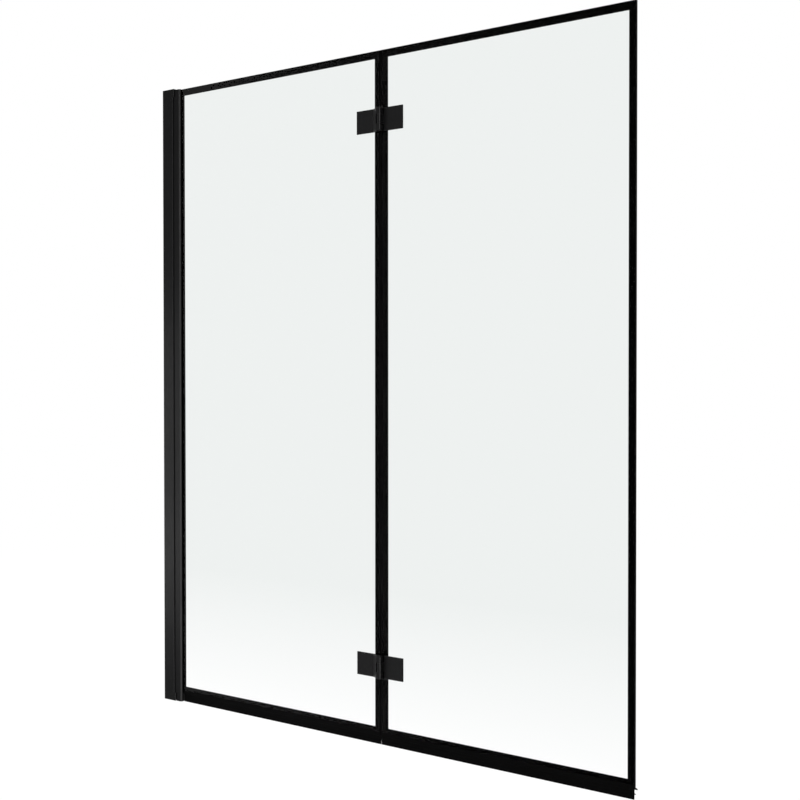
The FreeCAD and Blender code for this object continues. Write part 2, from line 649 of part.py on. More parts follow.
def add_bosses(body, x):
    """Threaded bosses on the back of a leaf, which stand in the holes of the glass."""
    bosses = new_sketch(body, "XZ_Plane", "bosses", "Places.leaf_back")
    add_screw_circles(bosses, x, "Places.boss_radius")
    pad(body, bosses, "Places.leaf_back + Places.half_glass - Sizes.boss_short", back=True)
    bore_screws(body, x, "Sizes.screw_radius + Sizes.thread_gap", "Places.half_glass - Sizes.boss_short",
                "Places.half_glass - Sizes.boss_short + Places.leaf_front - Sizes.blind_skin")


def bevel_face(body, level):
    """Bevels all edges round the outer face of a plate that has no holes yet."""
    at = amount(body, level)
    dress(body, "Chamfer", "Sizes.leaf_bevel", lambda middle, edge: near(middle.y, at))


def round_corners(body, size):
    """Rounds the four corners of a plate, seen from the room."""
    dress(body, "Fillet", size, lambda middle, edge: near(length_of(edge)[0] + length_of(edge)[2], 0))


def make_fixed_leaf(label, height):
    """Leaf on the fixed pane: a flat wing, a ramp and the outer knuckles, relieved round the turning one."""
    body = new_body(label, "Places.gap_middle", "0", height)
    section = new_sketch(body, "XY_Plane", "section")
    add_polygon(section, (
        ("-Sizes.leaf_reach", "-Places.leaf_front"),
        ("-Sizes.ramp_foot", "-Places.leaf_front"),
        ("Places.knuckle_left", "-Places.knuckle_front"),
        ("Places.knuckle_right", "-Places.knuckle_front"),
        ("Places.knuckle_right", "-Places.knuckle_rear"),
        ("Places.knuckle_left", "-Places.knuckle_rear"),
        ("-Sizes.leaf_edge", "-Places.leaf_back"),
        ("-Sizes.leaf_reach", "-Places.leaf_back"),
    ))
    pad(body, section, "Sizes.leaf_high", both=True)
    reach = amount(body, "-Sizes.leaf_reach")
    half = amount(body, "Sizes.leaf_high") / 2
    front = amount(body, "-Places.leaf_front")
    right = amount(body, "Places.knuckle_right")
    nose = amount(body, "-Places.knuckle_front")
    dress(body, "Fillet", "Sizes.knuckle_round",
          lambda middle, edge: near(middle.x, right) and near(middle.y, nose))
    dress(body, "Chamfer", "Sizes.leaf_bevel",
          lambda middle, edge: (near(middle.x, reach) and near(middle.y, front))
          or (near(abs(middle.z), half) and (middle.y < front + SAME or near(middle.x, right))))
    relief = new_sketch(body, "XY_Plane", "relief")
    add_circle(relief, "Sizes.pin_side", "-Places.pin_out", "Sizes.knuckle_half * sqrt(2) + Sizes.relief_gap")
    pocket(body, relief, "2 * Places.slot_half", both=True)
    bore = new_sketch(body, "XY_Plane", "bore")
    add_circle(bore, "Sizes.pin_side", "-Places.pin_out", "Sizes.pin_radius + Sizes.pin_fit")
    pocket(body, bore, "Sizes.leaf_high + Sizes.overrun", both=True)
    add_bosses(body, "-Sizes.screw_reach")


def make_turning_leaf(label, height):
    """Leaf on the folding pane: a flat plate and an arm to the middle knuckle."""
    body = new_body(label, "Places.gap_middle", "0", height)
    plate = new_sketch(body, "XY_Plane", "plate")
    add_rectangle(plate, "Places.plate_start", "-Places.leaf_front", "Sizes.leaf_reach", "-Places.leaf_back")
    pad(body, plate, "Sizes.leaf_high", both=True)
    bevel_face(body, "-Places.leaf_front")
    arm = new_sketch(body, "XY_Plane", "arm")
    add_polygon(arm, (
        ("Sizes.pin_side", "-Places.knuckle_front"),
        ("Places.knuckle_right", "-Places.knuckle_front"),
        ("Places.knuckle_right", "-Places.leaf_front"),
        ("Places.plate_start + Sizes.leaf_bevel", "-Places.leaf_front"),
        ("Places.plate_start + Sizes.leaf_bevel", "-Places.leaf_back"),
        ("Sizes.pin_side", "-Places.leaf_back"),
    ))
    pad(body, arm, "Sizes.turning_knuckle_high", both=True)
    right = amount(body, "Places.knuckle_right")
    nose = amount(body, "-Places.knuckle_front")
    dress(body, "Fillet", "Sizes.knuckle_round",
          lambda middle, edge: near(middle.x, right) and near(middle.y, nose))
    knuckle = new_sketch(body, "XY_Plane", "knuckle")
    add_circle(knuckle, "Sizes.pin_side", "-Places.pin_out", "Sizes.knuckle_half")
    pad(body, knuckle, "Sizes.turning_knuckle_high", both=True)
    bore = new_sketch(body, "XY_Plane", "bore")
    add_circle(bore, "Sizes.pin_side", "-Places.pin_out", "Places.bush_radius + Sizes.pin_fit")
    pocket(body, bore, "Sizes.turning_knuckle_high + Sizes.overrun", both=True)
    add_bosses(body, "Sizes.screw_reach")


def make_back_plate(label, height, ends, screws_x):
    """Rounded plate on the bath side of the glass, with countersunk holes."""
    body = new_body(label, "Places.gap_middle", "0", height)
    outline = new_sketch(body, "XZ_Plane", "outline", "-Places.leaf_back")
    add_rectangle(outline, ends[0], "-Sizes.back_plate_high / 2", ends[1], "Sizes.back_plate_high / 2")
    pad(body, outline, "Sizes.leaf_thick", back=True)
    round_corners(body, "Sizes.back_plate_round")
    level = amount(body, "Places.leaf_front")
    bevel_face(body, "Places.leaf_front")
    hole = "Sizes.screw_radius + Sizes.screw_hole_gap"
    bore_screws(body, screws_x, hole, "Places.leaf_front", "Sizes.leaf_thick")
    dress(body, "Chamfer", "Sizes.screw_head_radius - Sizes.screw_radius - Sizes.screw_hole_gap",
          lambda middle, edge: near(middle.y, level) and edge.isClosed())


def make_pad(label, height, ends, screws_x, bath):
    """Rubber pad between a plate and the glass, on the bath side or on the room side."""
    body = new_body(label, "Places.gap_middle", "0", height)
    outline = new_sketch(body, "XZ_Plane", "outline", "-Places.half_glass" if bath else "Places.half_glass")
    high = "Sizes.back_plate_high" if bath else "Sizes.leaf_high"
    rise = f"({high} / 2 - Sizes.pad_inset)"
    add_rectangle(outline, f"{ends[0]} + Sizes.pad_inset", f"-{rise}", f"{ends[1]} - Sizes.pad_inset", rise)
    pad(body, outline, "Sizes.pad_thick", back=bath)
    if bath:
        round_corners(body, "Sizes.back_plate_round - Sizes.pad_inset")
    holes = new_sketch(body, "XZ_Plane", "holes")
    add_screw_circles(holes, screws_x, "Sizes.glass_hole_radius")
    pocket(body, holes, "2 * Places.leaf_back + Sizes.overrun", both=True)


def make_sleeves(label, height, screws_x):
    """Plastic sleeves that keep the bosses off the glass."""
    body = new_body(label, f"Places.gap_middle + {screws_x}", "0", f"{height} - {LOWEST_SCREW}")
    ring = new_sketch(body, "XZ_Plane", "ring")
    add_circle(ring, "0", "0", "Sizes.glass_hole_radius - Sizes.sleeve_gap")
    add_circle(ring, "0", "0", "Places.boss_radius + Sizes.sleeve_gap")
    pad(body, ring, "Sizes.glass_thick", both=True)
    repeat_all(body, "Sizes.screw_pitch", "Sizes.screw_count")


def make_glass_screws(label, height, screws_x):
    """Countersunk screws from the back plate through the glass into the bosses of the leaf."""
    body = new_body(label, f"Places.gap_middle + {screws_x}", "Places.leaf_front",
                    f"{height} - {LOWEST_SCREW}")
    tip = "-(2 * Places.leaf_front - Sizes.blind_skin - Sizes.screw_tip_gap)"
    spin(body, (
        ("0", tip),
        ("Sizes.screw_radius", tip),
        ("Sizes.screw_radius", "-(Sizes.screw_head_radius - Sizes.screw_radius)"),
        ("Sizes.screw_head_radius", "0"),
        ("0", "0"),
    ))
    drive_socket(body, "Sizes.screw_socket", "Sizes.screw_socket_deep", "0")
    repeat_all(body, "Sizes.screw_pitch", "Sizes.screw_count")


def make_pin(label, height):
    """Hinge pin, fixed in the outer knuckles."""
    body = new_body(label, "Places.gap_middle + Sizes.pin_side", "-Places.pin_out", height)
    ring = new_sketch(body, "XY_Plane", "ring")
    add_circle(ring, "0", "0", "Sizes.pin_radius")
    pad(body, ring, "Sizes.leaf_high - 2 * Sizes.pin_recess", both=True)
    dress(body, "Chamfer", "Sizes.pin_chamfer", lambda middle, edge: isinstance(edge.Curve, Part.Circle))


def make_bush(label, height):
    """Polymer bush pressed into the turning knuckle."""
    body = new_body(label, "Places.gap_middle + Sizes.pin_side", "-Places.pin_out", height)
    ring = new_sketch(body, "XY_Plane", "ring")
    add_circle(ring, "0", "0", "Places.bush_radius")
    add_circle(ring, "0", "0", "Sizes.pin_radius + Sizes.bush_gap")
    pad(body, ring, "Sizes.turning_knuckle_high", both=True)


def make_washers(label, height):
    """Nylon washers above and below the turning knuckle."""
    body = new_body(label, "Places.gap_middle + Sizes.pin_side", "-Places.pin_out", height)
    ring = new_sketch(body, "XY_Plane", "ring", "Places.turning_half + Sizes.axial_gap")
    add_circle(ring, "0", "0", "Sizes.washer_radius")
    add_circle(ring, "0", "0", "Sizes.pin_radius + Sizes.bush_gap")
    upper = pad(body, ring, "Sizes.washer_thick")
    pair = body.newObject("PartDesign::Mirrored", f"{label}_pair")
    pair.Originals = [upper]
    pair.MirrorPlane = (own(body, "XY_Plane"), [""])
    finish(body, pair)


def make_hinge(name, height):
    """All pieces of one hinge."""
    halves = (
        ("fixed", ("-Sizes.leaf_reach", "-Sizes.leaf_edge"), ("-Places.back_far", "-Places.back_near"),
         "-Sizes.screw_reach"),
        ("turning", ("Places.plate_start", "Sizes.leaf_reach"), ("Places.back_near", "Places.back_far"),
         "Sizes.screw_reach"),
    )
    make_fixed_leaf(f"{name}_fixed_leaf", height)
    make_turning_leaf(f"{name}_turning_leaf", height)
    for word, room_ends, bath_ends, screws_x in halves:
        make_back_plate(f"{name}_{word}_back_plate", height, bath_ends, screws_x)
        make_pad(f"{name}_{word}_front_pad", height, room_ends, screws_x, bath=False)
        make_pad(f"{name}_{word}_back_pad", height, bath_ends, screws_x, bath=True)
        make_sleeves(f"{name}_{word}_sleeves", height, screws_x)
        make_glass_screws(f"{name}_{word}_screws", height, screws_x)
    make_pin(f"{name}_hinge_pin", height)
    make_bush(f"{name}_bush", height)
    make_washers(f"{name}_washers", height)


LOWEST_SCREW = "Sizes.screw_pitch * (Sizes.screw_count - 1) / 2"
HINGES = {
    "upper": "(Places.glass_high - Sizes.hinge_inset)",
    "lower": "(Places.glass_low + Sizes.hinge_inset)",
}


def check_model():
    """Stops the build where a feature failed or a node is empty or not valid."""
    for item in doc.Objects:
        if "Invalid" in item.State or "Error" in item.State:
            raise RuntimeError(f"{item.Label} is {item.State}")
    for body in nodes:
        if body.Shape.isNull() or not body.Shape.isValid() or not body.Shape.Solids:
            raise RuntimeError(f"{body.Label} has no valid solid")


def main():
    """Builds the screen from the wall outwards and writes one file for each node."""
    fill_sheet("Sizes", SIZES, "")
    fill_sheet("Places", PLACES, "=")
    doc.recompute()
    make_wall_profile()
    make_wall_end("wall_top_cap", top=True)
    make_wall_end("wall_foot_cap", top=False)
    make_clamp_screws()
    make_glass_profile()
    make_profile_end("profile_top_cap", top=True)
    make_profile_end("profile_foot_cap", top=False)
    make_gasket("room_gasket", "-")
    make_gasket("bath_gasket", "+")
    make_setting_block()
    make_edge_spacers()
    screws = "Sizes.screw_reach"
    make_pane("inner_glass", "Places.inner_left", "Places.inner_right", f"Places.gap_middle - {screws}")
    make_band("inner_print", "Places.inner_left", "Places.inner_right")
    make_bottom_seal("inner_bottom_seal", "Places.inner_seal_start", "Places.inner_seal_end")
    make_pane("outer_glass", "Places.outer_left", "Places.outer_right", f"Places.gap_middle + {screws}")
    make_band("outer_print", "Places.outer_left", "Places.outer_right")
    make_bottom_seal("outer_bottom_seal", "Places.outer_seal_start", "Places.outer_right - Sizes.seal_clear")
    make_gap_seal()
    for name, height in HINGES.items():
        make_hinge(name, height)
    doc.recompute()
    check_model()
    os.makedirs("parts", exist_ok=True)
    for body in nodes:
        body.Shape.exportStep(f"parts/{body.Label}.step")
        print(body.Label, len(body.Shape.Solids), round(body.Shape.Volume))


main()
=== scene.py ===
"""Folding bath screen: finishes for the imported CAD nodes, and finer seals, gaskets and enamel bands.

Lengths are metres in the frame of the CAD model: X runs from the wall to the free edge, Y from the room
to the bath, Z up, with the middle of the wall face as origin.
"""

import logging
import math
from dataclasses import dataclass, replace
from enum import Enum
from typing import Any, ClassVar, Iterable, Self, Sequence

import bpy
import numpy as np
from mathutils import Matrix, Vector


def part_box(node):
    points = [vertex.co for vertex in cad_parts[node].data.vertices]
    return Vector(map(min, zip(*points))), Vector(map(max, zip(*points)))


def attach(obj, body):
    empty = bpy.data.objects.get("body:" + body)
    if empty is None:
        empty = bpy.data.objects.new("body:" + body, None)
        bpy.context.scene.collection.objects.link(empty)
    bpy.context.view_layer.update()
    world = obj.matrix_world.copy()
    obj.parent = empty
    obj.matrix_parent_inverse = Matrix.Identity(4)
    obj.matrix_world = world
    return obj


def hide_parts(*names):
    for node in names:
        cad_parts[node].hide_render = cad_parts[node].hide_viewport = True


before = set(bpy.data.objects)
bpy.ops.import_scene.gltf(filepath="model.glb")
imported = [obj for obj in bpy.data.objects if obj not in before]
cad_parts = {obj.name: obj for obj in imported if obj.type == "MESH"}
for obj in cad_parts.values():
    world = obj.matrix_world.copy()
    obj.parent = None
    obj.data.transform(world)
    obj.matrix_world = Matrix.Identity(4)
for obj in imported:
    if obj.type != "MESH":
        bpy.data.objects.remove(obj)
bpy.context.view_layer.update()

LOG = logging.getLogger("bath_screen")
MM = 0.001
GLASS_LOW = -681.0  # lower edge of both panes, in millimetres
GLASS_INDEX = 1.5
WHITE = (1.0, 1.0, 1.0)
Colour = tuple[float, float, float]
Span = tuple[float, float]
Place = tuple[float, float, float]
Socket = bpy.types.NodeSocket


class Body(Enum):
    """The three rigid bodies of the CAD model."""

    WALL = "wall_side"
    INNER = "inner_panel"
    OUTER = "outer_panel"


class Run(Enum):
    """The direction in which a strip was extruded, as an axis number."""

    ALONG_X = 0
    ALONG_Z = 2


# Shader nodes


@dataclass(frozen=True)
class Texture:
    """Settings of a noise texture.

    Attributes:
        scale: grains per metre.
        detail: octaves.
        rough: weight of the finer octaves.
    """

    scale: float
    detail: float
    rough: float


class Tree:
    """A node tree with short calls for adding and joining nodes."""

    def __init__(self, tree: bpy.types.NodeTree) -> None:
        """Wraps the node tree of a material, a world or a group."""
        self.tree = tree

    @classmethod
    def emptied(cls, owner: bpy.types.Material | bpy.types.World) -> Self:
        """Switches a material or a world to nodes and clears them.

        Args:
            owner: the material or world.

        Returns:
            Its empty tree.
        """
        owner.use_nodes = True
        owner.node_tree.nodes.clear()
        return cls(owner.node_tree)

    def node(self, kind: str, **settings: Any) -> bpy.types.Node:
        """Adds a node.

        Args:
            kind: the node's type without its ShaderNode prefix.
            settings: node properties, and under "inputs" a dict with the value or the source of inputs,
                by name or number.

        Returns:
            The new node.
        """
        prefix = "" if kind.startswith("Node") else "ShaderNode"
        node = self.tree.nodes.new(prefix + kind)
        inputs = settings.pop("inputs", {})
        for name, value in settings.items():
            setattr(node, name, value)
        for socket, value in inputs.items():
            self.feed(node.inputs[socket], value)
        return node

    def feed(self, socket: Socket, value: Any) -> None:
        """Gives an input its value.

        Args:
            socket: the input.
            value: a socket to link, or a plain value.
        """
        if isinstance(value, Socket):
            self.tree.links.new(value, socket)
        else:
            socket.default_value = value

    def math(self, operation: str, one: Any, two: Any = 0.0, clamp: bool = False) -> Socket:
        """Adds a Math node.

        Args:
            operation: name of the Math operation.
            one: first value, a number or a socket.
            two: second value, a number or a socket.
            clamp: keeps the result between 0 and 1.

        Returns:
            The result.
        """
        return self.node("Math", operation=operation, use_clamp=clamp, inputs={0: one, 1: two}).outputs[0]

    def ramp(self, value: Socket, start: Span, end: Span = (0.0, 1.0), smooth: bool = True) -> Socket:
        """Maps a value from one range to another and holds it there.

        Args:
            value: the value.
            start: the range it comes from.
            end: the range it goes to.
            smooth: eases both ends.

        Returns:
            The mapped value.
        """
        names = ("Value", "From Min", "From Max", "To Min", "To Max")
        node = self.node("MapRange", interpolation_type="SMOOTHSTEP" if smooth else "LINEAR",
                         inputs=dict(zip(names, (value, *start, *end))))
        return node.outputs["Result"]

    def mix(self, share: Socket, one: Colour | Socket, two: Colour | Socket) -> Socket:
        """Mixes two colours.

        Args:
            share: share of the second colour.
            one: first colour.
            two: second colour.

        Returns:
            The mixed colour.
        """
        node = self.node("Mix", data_type="RGBA", inputs={"Factor": share})
        for name, value in (("A", one), ("B", two)):
            socket = next(s for s in node.inputs if s.name == name and s.type == "RGBA")
            self.feed(socket, value if isinstance(value, Socket) else (*value, 1.0))
        return next(s for s in node.outputs if s.type == "RGBA")

    def noise(self, place: Socket, texture: Texture, scale: Socket | None = None) -> Socket:
        """Adds a noise texture.

        Args:
            place: coordinates in metres.
            texture: its settings.
            scale: grains per metre where a socket gives them.

        Returns:
            The noise value, about 0.5 in the mean.
        """
        node = self.node("TexNoise", inputs={
            "Vector": place, "Scale": texture.scale if scale is None else scale,
            "Detail": texture.detail, "Roughness": texture.rough})
        return node.outputs[0]

    def place(self) -> Socket:
        """Coordinates of the surface in the object's own frame."""
        return self.node("TexCoord").outputs["Object"]

    def part(self, vector: Socket, axis: str) -> Socket:
        """One coordinate of a vector.

        Args:
            vector: the vector.
            axis: X, Y or Z.

        Returns:
            The coordinate.
        """
        return self.node("SeparateXYZ", inputs={0: vector}).outputs[axis]

    def group(self, effect: bpy.types.NodeTree, **values: float) -> Sequence[Socket]:
        """Places an effect group.

        Args:
            effect: the group to place.
            values: input values by socket name.

        Returns:
            The group's outputs.
        """
        return self.node("Group", node_tree=effect, inputs=values).outputs

    def bump(self, height: Socket, depth: float, under: Socket | None = None) -> Socket:
        """Adds a Bump node.

        Args:
            height: height map, 0 to 1.
            depth: height of a full step, in metres.
            under: normal of a bump below this one.

        Returns:
            The bumped normal.
        """
        inputs = {"Strength": 1.0, "Distance": depth, "Height": height}
        if under is not None:
            inputs["Normal"] = under
        return self.node("Bump", inputs=inputs).outputs["Normal"]

    def blend(self, share: Socket, one: Socket, two: Socket) -> Socket:
        """Mixes two shaders.

        Args:
            share: share of the second shader.
            one: first shader.
            two: second shader.

        Returns:
            The mixed shader.
        """
        return self.node("MixShader", inputs={0: share, 1: one, 2: two}).outputs[0]

    def finish(self, shader: Socket, output: str = "OutputMaterial") -> None:
        """Joins the shader to a new output node."""
        self.node(output, inputs={"Surface": shader})


class Effects:
    """Shader node groups that several finishes use. Each is built once, on its first use.

    Attributes:
        MIDDLE, WIDE_MIDDLE, DUST_MIDDLE: noise values that a ramp spreads.
        EDGE_TURN: one minus the dot product where an edge starts and in its middle.
        EDGE_PATCHES, EDGE_LEFT: patches of the edge mask, and what they leave of it.
        FINE, WIDE, SPECKLE: the three textures of the grain.
        DUST_UP, DUST_SHARE: the normal's Z on side and top faces, and the share of dust there.
        DUST_CLOUDS, DUST_LEFT: clouds of the film, and what they leave of it.
        HIGHLIGHT_TURN: minus the product of the normal's X and Y, where the painted highlight starts and in
            its middle.
            HIGHLIGHT_CLOUDS, HIGHLIGHT_LEFT: clouds of the painted highlight mask, and what they leave of it.
        DIE_LINES, LINES_ACROSS: the stretched texture, and its start value in lines per metre.
    """

    MIDDLE: ClassVar[Span] = (0.3, 0.7)
    WIDE_MIDDLE: ClassVar[Span] = (0.28, 0.72)
    DUST_MIDDLE: ClassVar[Span] = (0.3, 0.75)
    EDGE_TURN: ClassVar[Span] = (0.02, 0.22)
    EDGE_PATCHES: ClassVar[Texture] = Texture(90.0, 3.0, 0.6)
    EDGE_LEFT: ClassVar[Span] = (0.35, 1.0)
    FINE: ClassVar[Texture] = Texture(1500.0, 2.0, 0.45)
    WIDE: ClassVar[Texture] = Texture(9.0, 3.0, 0.55)
    SPECKLE: ClassVar[Texture] = Texture(465.0, 1.0, 0.5)
    DUST_UP: ClassVar[Span] = (0.2, 1.0)
    DUST_SHARE: ClassVar[Span] = (0.12, 1.0)
    DUST_CLOUDS: ClassVar[Texture] = Texture(45.0, 4.0, 0.6)
    DUST_LEFT: ClassVar[Span] = (0.3, 1.0)
    HIGHLIGHT_TURN: ClassVar[Span] = (0.30, 0.46)
    HIGHLIGHT_CLOUDS: ClassVar[Texture] = Texture(30.0, 3.0, 0.6)
    HIGHLIGHT_LEFT: ClassVar[Span] = (0.85, 1.0)
    DIE_LINES: ClassVar[Texture] = Texture(1.0, 3.0, 0.6)
    LINES_ACROSS: ClassVar[float] = 900.0

    @staticmethod
    def _group(name: str, inputs: dict[str, float],
               outputs: Sequence[str] = ("Mask",)) -> tuple[Tree, Any, Any, bool]:
        """Finds or makes an empty group of numbers with named sockets.

        Args:
            name: name of the group.
            inputs: start value of each input.
            outputs: names of the outputs.

        Returns:
            The group's tree, its given values, the sockets of its results, and whether it is new.
        """
        if name in bpy.data.node_groups:
            return Tree(bpy.data.node_groups[name]), None, None, False
        group = bpy.data.node_groups.new(name, "ShaderNodeTree")
        for side, labels in (("INPUT", inputs), ("OUTPUT", outputs)):
            for label in labels:
                socket = group.interface.new_socket(name=label, in_out=side, socket_type="NodeSocketFloat")
                socket.default_value = inputs.get(label, 0.0)
        tree = Tree(group)
        given, results = tree.node("NodeGroupInput").outputs, tree.node("NodeGroupOutput").inputs
        return tree, given, results, True

    @classmethod
    def edge(cls) -> bpy.types.NodeTree:
        """Mask of the outer edges: one minus the dot product of a rounded normal and the true one.

        Returns:
            The group, with input Width and output Mask, which patches break up.
        """
        tree, given, results, new = cls._group("edge_mask", {"Width": 0.0006})
        if new:
            rounded = tree.node("Bevel", samples=4, inputs={"Radius": given["Width"]}).outputs[0]
            true = tree.node("NewGeometry").outputs["Normal"]
            dot = tree.node("VectorMath", operation="DOT_PRODUCT", inputs={0: rounded, 1: true})
            turned = tree.ramp(tree.math("SUBTRACT", 1.0, dot.outputs["Value"]), cls.EDGE_TURN)
            patches = tree.ramp(tree.noise(tree.place(), cls.EDGE_PATCHES), cls.MIDDLE, cls.EDGE_LEFT)
            tree.feed(results["Mask"], tree.math("MULTIPLY", turned, patches, clamp=True))
        return tree.tree

    @classmethod
    def grain(cls) -> bpy.types.NodeTree:
        """Fine grain for the bump, wide soft clouds for the colour, and speckle for the gloss.

        Returns:
            The group, with inputs Fine and Wide in grains per metre and outputs Height, Cloud and Speckle.
        """
        tree, given, results, new = cls._group(
            "surface_grain", {"Fine": cls.FINE.scale, "Wide": cls.WIDE.scale}, ("Height", "Cloud", "Speckle"))
        if new:
            place = tree.place()
            coarser = tree.math("MULTIPLY", given["Fine"], cls.SPECKLE.scale / cls.FINE.scale)
            wide = tree.noise(place, cls.WIDE, given["Wide"])
            speckle = tree.noise(place, cls.SPECKLE, coarser)
            tree.feed(results["Height"], tree.noise(place, cls.FINE, given["Fine"]))
            tree.feed(results["Cloud"], tree.ramp(wide, cls.WIDE_MIDDLE))
            tree.feed(results["Speckle"], tree.ramp(speckle, cls.MIDDLE))
        return tree.tree

    @classmethod
    def dust(cls) -> bpy.types.NodeTree:
        """Mask of a thin film of dust: strongest on faces that look up, and clouded.

        Returns:
            The group, with input Amount and output Mask.
        """
        tree, given, results, new = cls._group("dust_film", {"Amount": 0.2})
        if new:
            normal = tree.node("NewGeometry").outputs["Normal"]
            upwards = tree.ramp(tree.part(normal, "Z"), cls.DUST_UP, cls.DUST_SHARE)
            cloud = tree.ramp(tree.noise(tree.place(), cls.DUST_CLOUDS), cls.DUST_MIDDLE, cls.DUST_LEFT)
            clouded = tree.math("MULTIPLY", upwards, cloud)
            tree.feed(results["Mask"], tree.math("MULTIPLY", clouded, given["Amount"], clamp=True))
        return tree.tree

    @classmethod
    def painted_highlight(cls) -> bpy.types.NodeTree:
        """Mask of a painted highlight on bevels and roundings between a room side and a free side, from the
        object's own normals.

        Minus the product of the normal's X and Y is 0.5 where both sides share the normal, and 0 on flat
        sides.

        Returns:
            The group, with input End, the X up to which the mask reaches, and output Mask.
        """
        tree, given, results, new = cls._group("painted_highlight_mask", {"End": 2.0})
        if new:
            normal = tree.node("TexCoord").outputs["Normal"]
            back = tree.math("MULTIPLY", tree.part(normal, "X"), -1.0)
            # Painted highlight: faces whose normal turns between the room side and the free side are marked.
            turned = tree.ramp(tree.math("MULTIPLY", back, tree.part(normal, "Y")), cls.HIGHLIGHT_TURN)
            place = tree.place()
            cloud = tree.ramp(tree.noise(place, cls.HIGHLIGHT_CLOUDS), cls.MIDDLE, cls.HIGHLIGHT_LEFT)
            near = tree.math("LESS_THAN", tree.part(place, "X"), given["End"])
            both = tree.math("MULTIPLY", turned, cloud, clamp=True)
            tree.feed(results["Mask"], tree.math("MULTIPLY", both, near))
        return tree.tree

    @classmethod
    def drawn(cls) -> bpy.types.NodeTree:
        """Fine lines left by an extrusion die: noise that is stretched along one axis.

        Returns:
            The group, with inputs X, Y and Z, the lines per metre across each axis, and output Height.
        """
        tree, given, results, new = cls._group(
            "die_lines", dict.fromkeys("XYZ", cls.LINES_ACROSS), ("Height",))
        if new:
            scale = tree.node("CombineXYZ", inputs={axis: given[axis] for axis in "XYZ"}).outputs[0]
            stretched = tree.node("VectorMath", operation="MULTIPLY", inputs={0: tree.place(), 1: scale})
            tree.feed(results["Height"], tree.noise(stretched.outputs[0], cls.DIE_LINES))
        return tree.tree


# Finishes


class Finish:
    """Base of all finishes: makes one material and keeps it under the finish's own name."""

    name: str
    made: ClassVar[dict[str, bpy.types.Material]] = {}

    def material(self) -> bpy.types.Material:
        """Gives the material, which is built on its first use.

        Returns:
            The one material of this finish.
        """
        if self.name not in self.made:
            material = bpy.data.materials.new(self.name)
            self.paint(Tree.emptied(material))
            self.made[self.name] = material
        return self.made[self.name]

    def paint(self, tree: Tree) -> None:
        """Fills the material's empty node tree."""
        raise NotImplementedError

    @staticmethod
    def shades(colour: Colour, spread: float) -> tuple[Colour, Colour]:
        """The colour made darker and lighter by the same share."""
        return tuple(tuple(level * part for part in colour) for level in (1.0 - spread, 1.0 + spread))


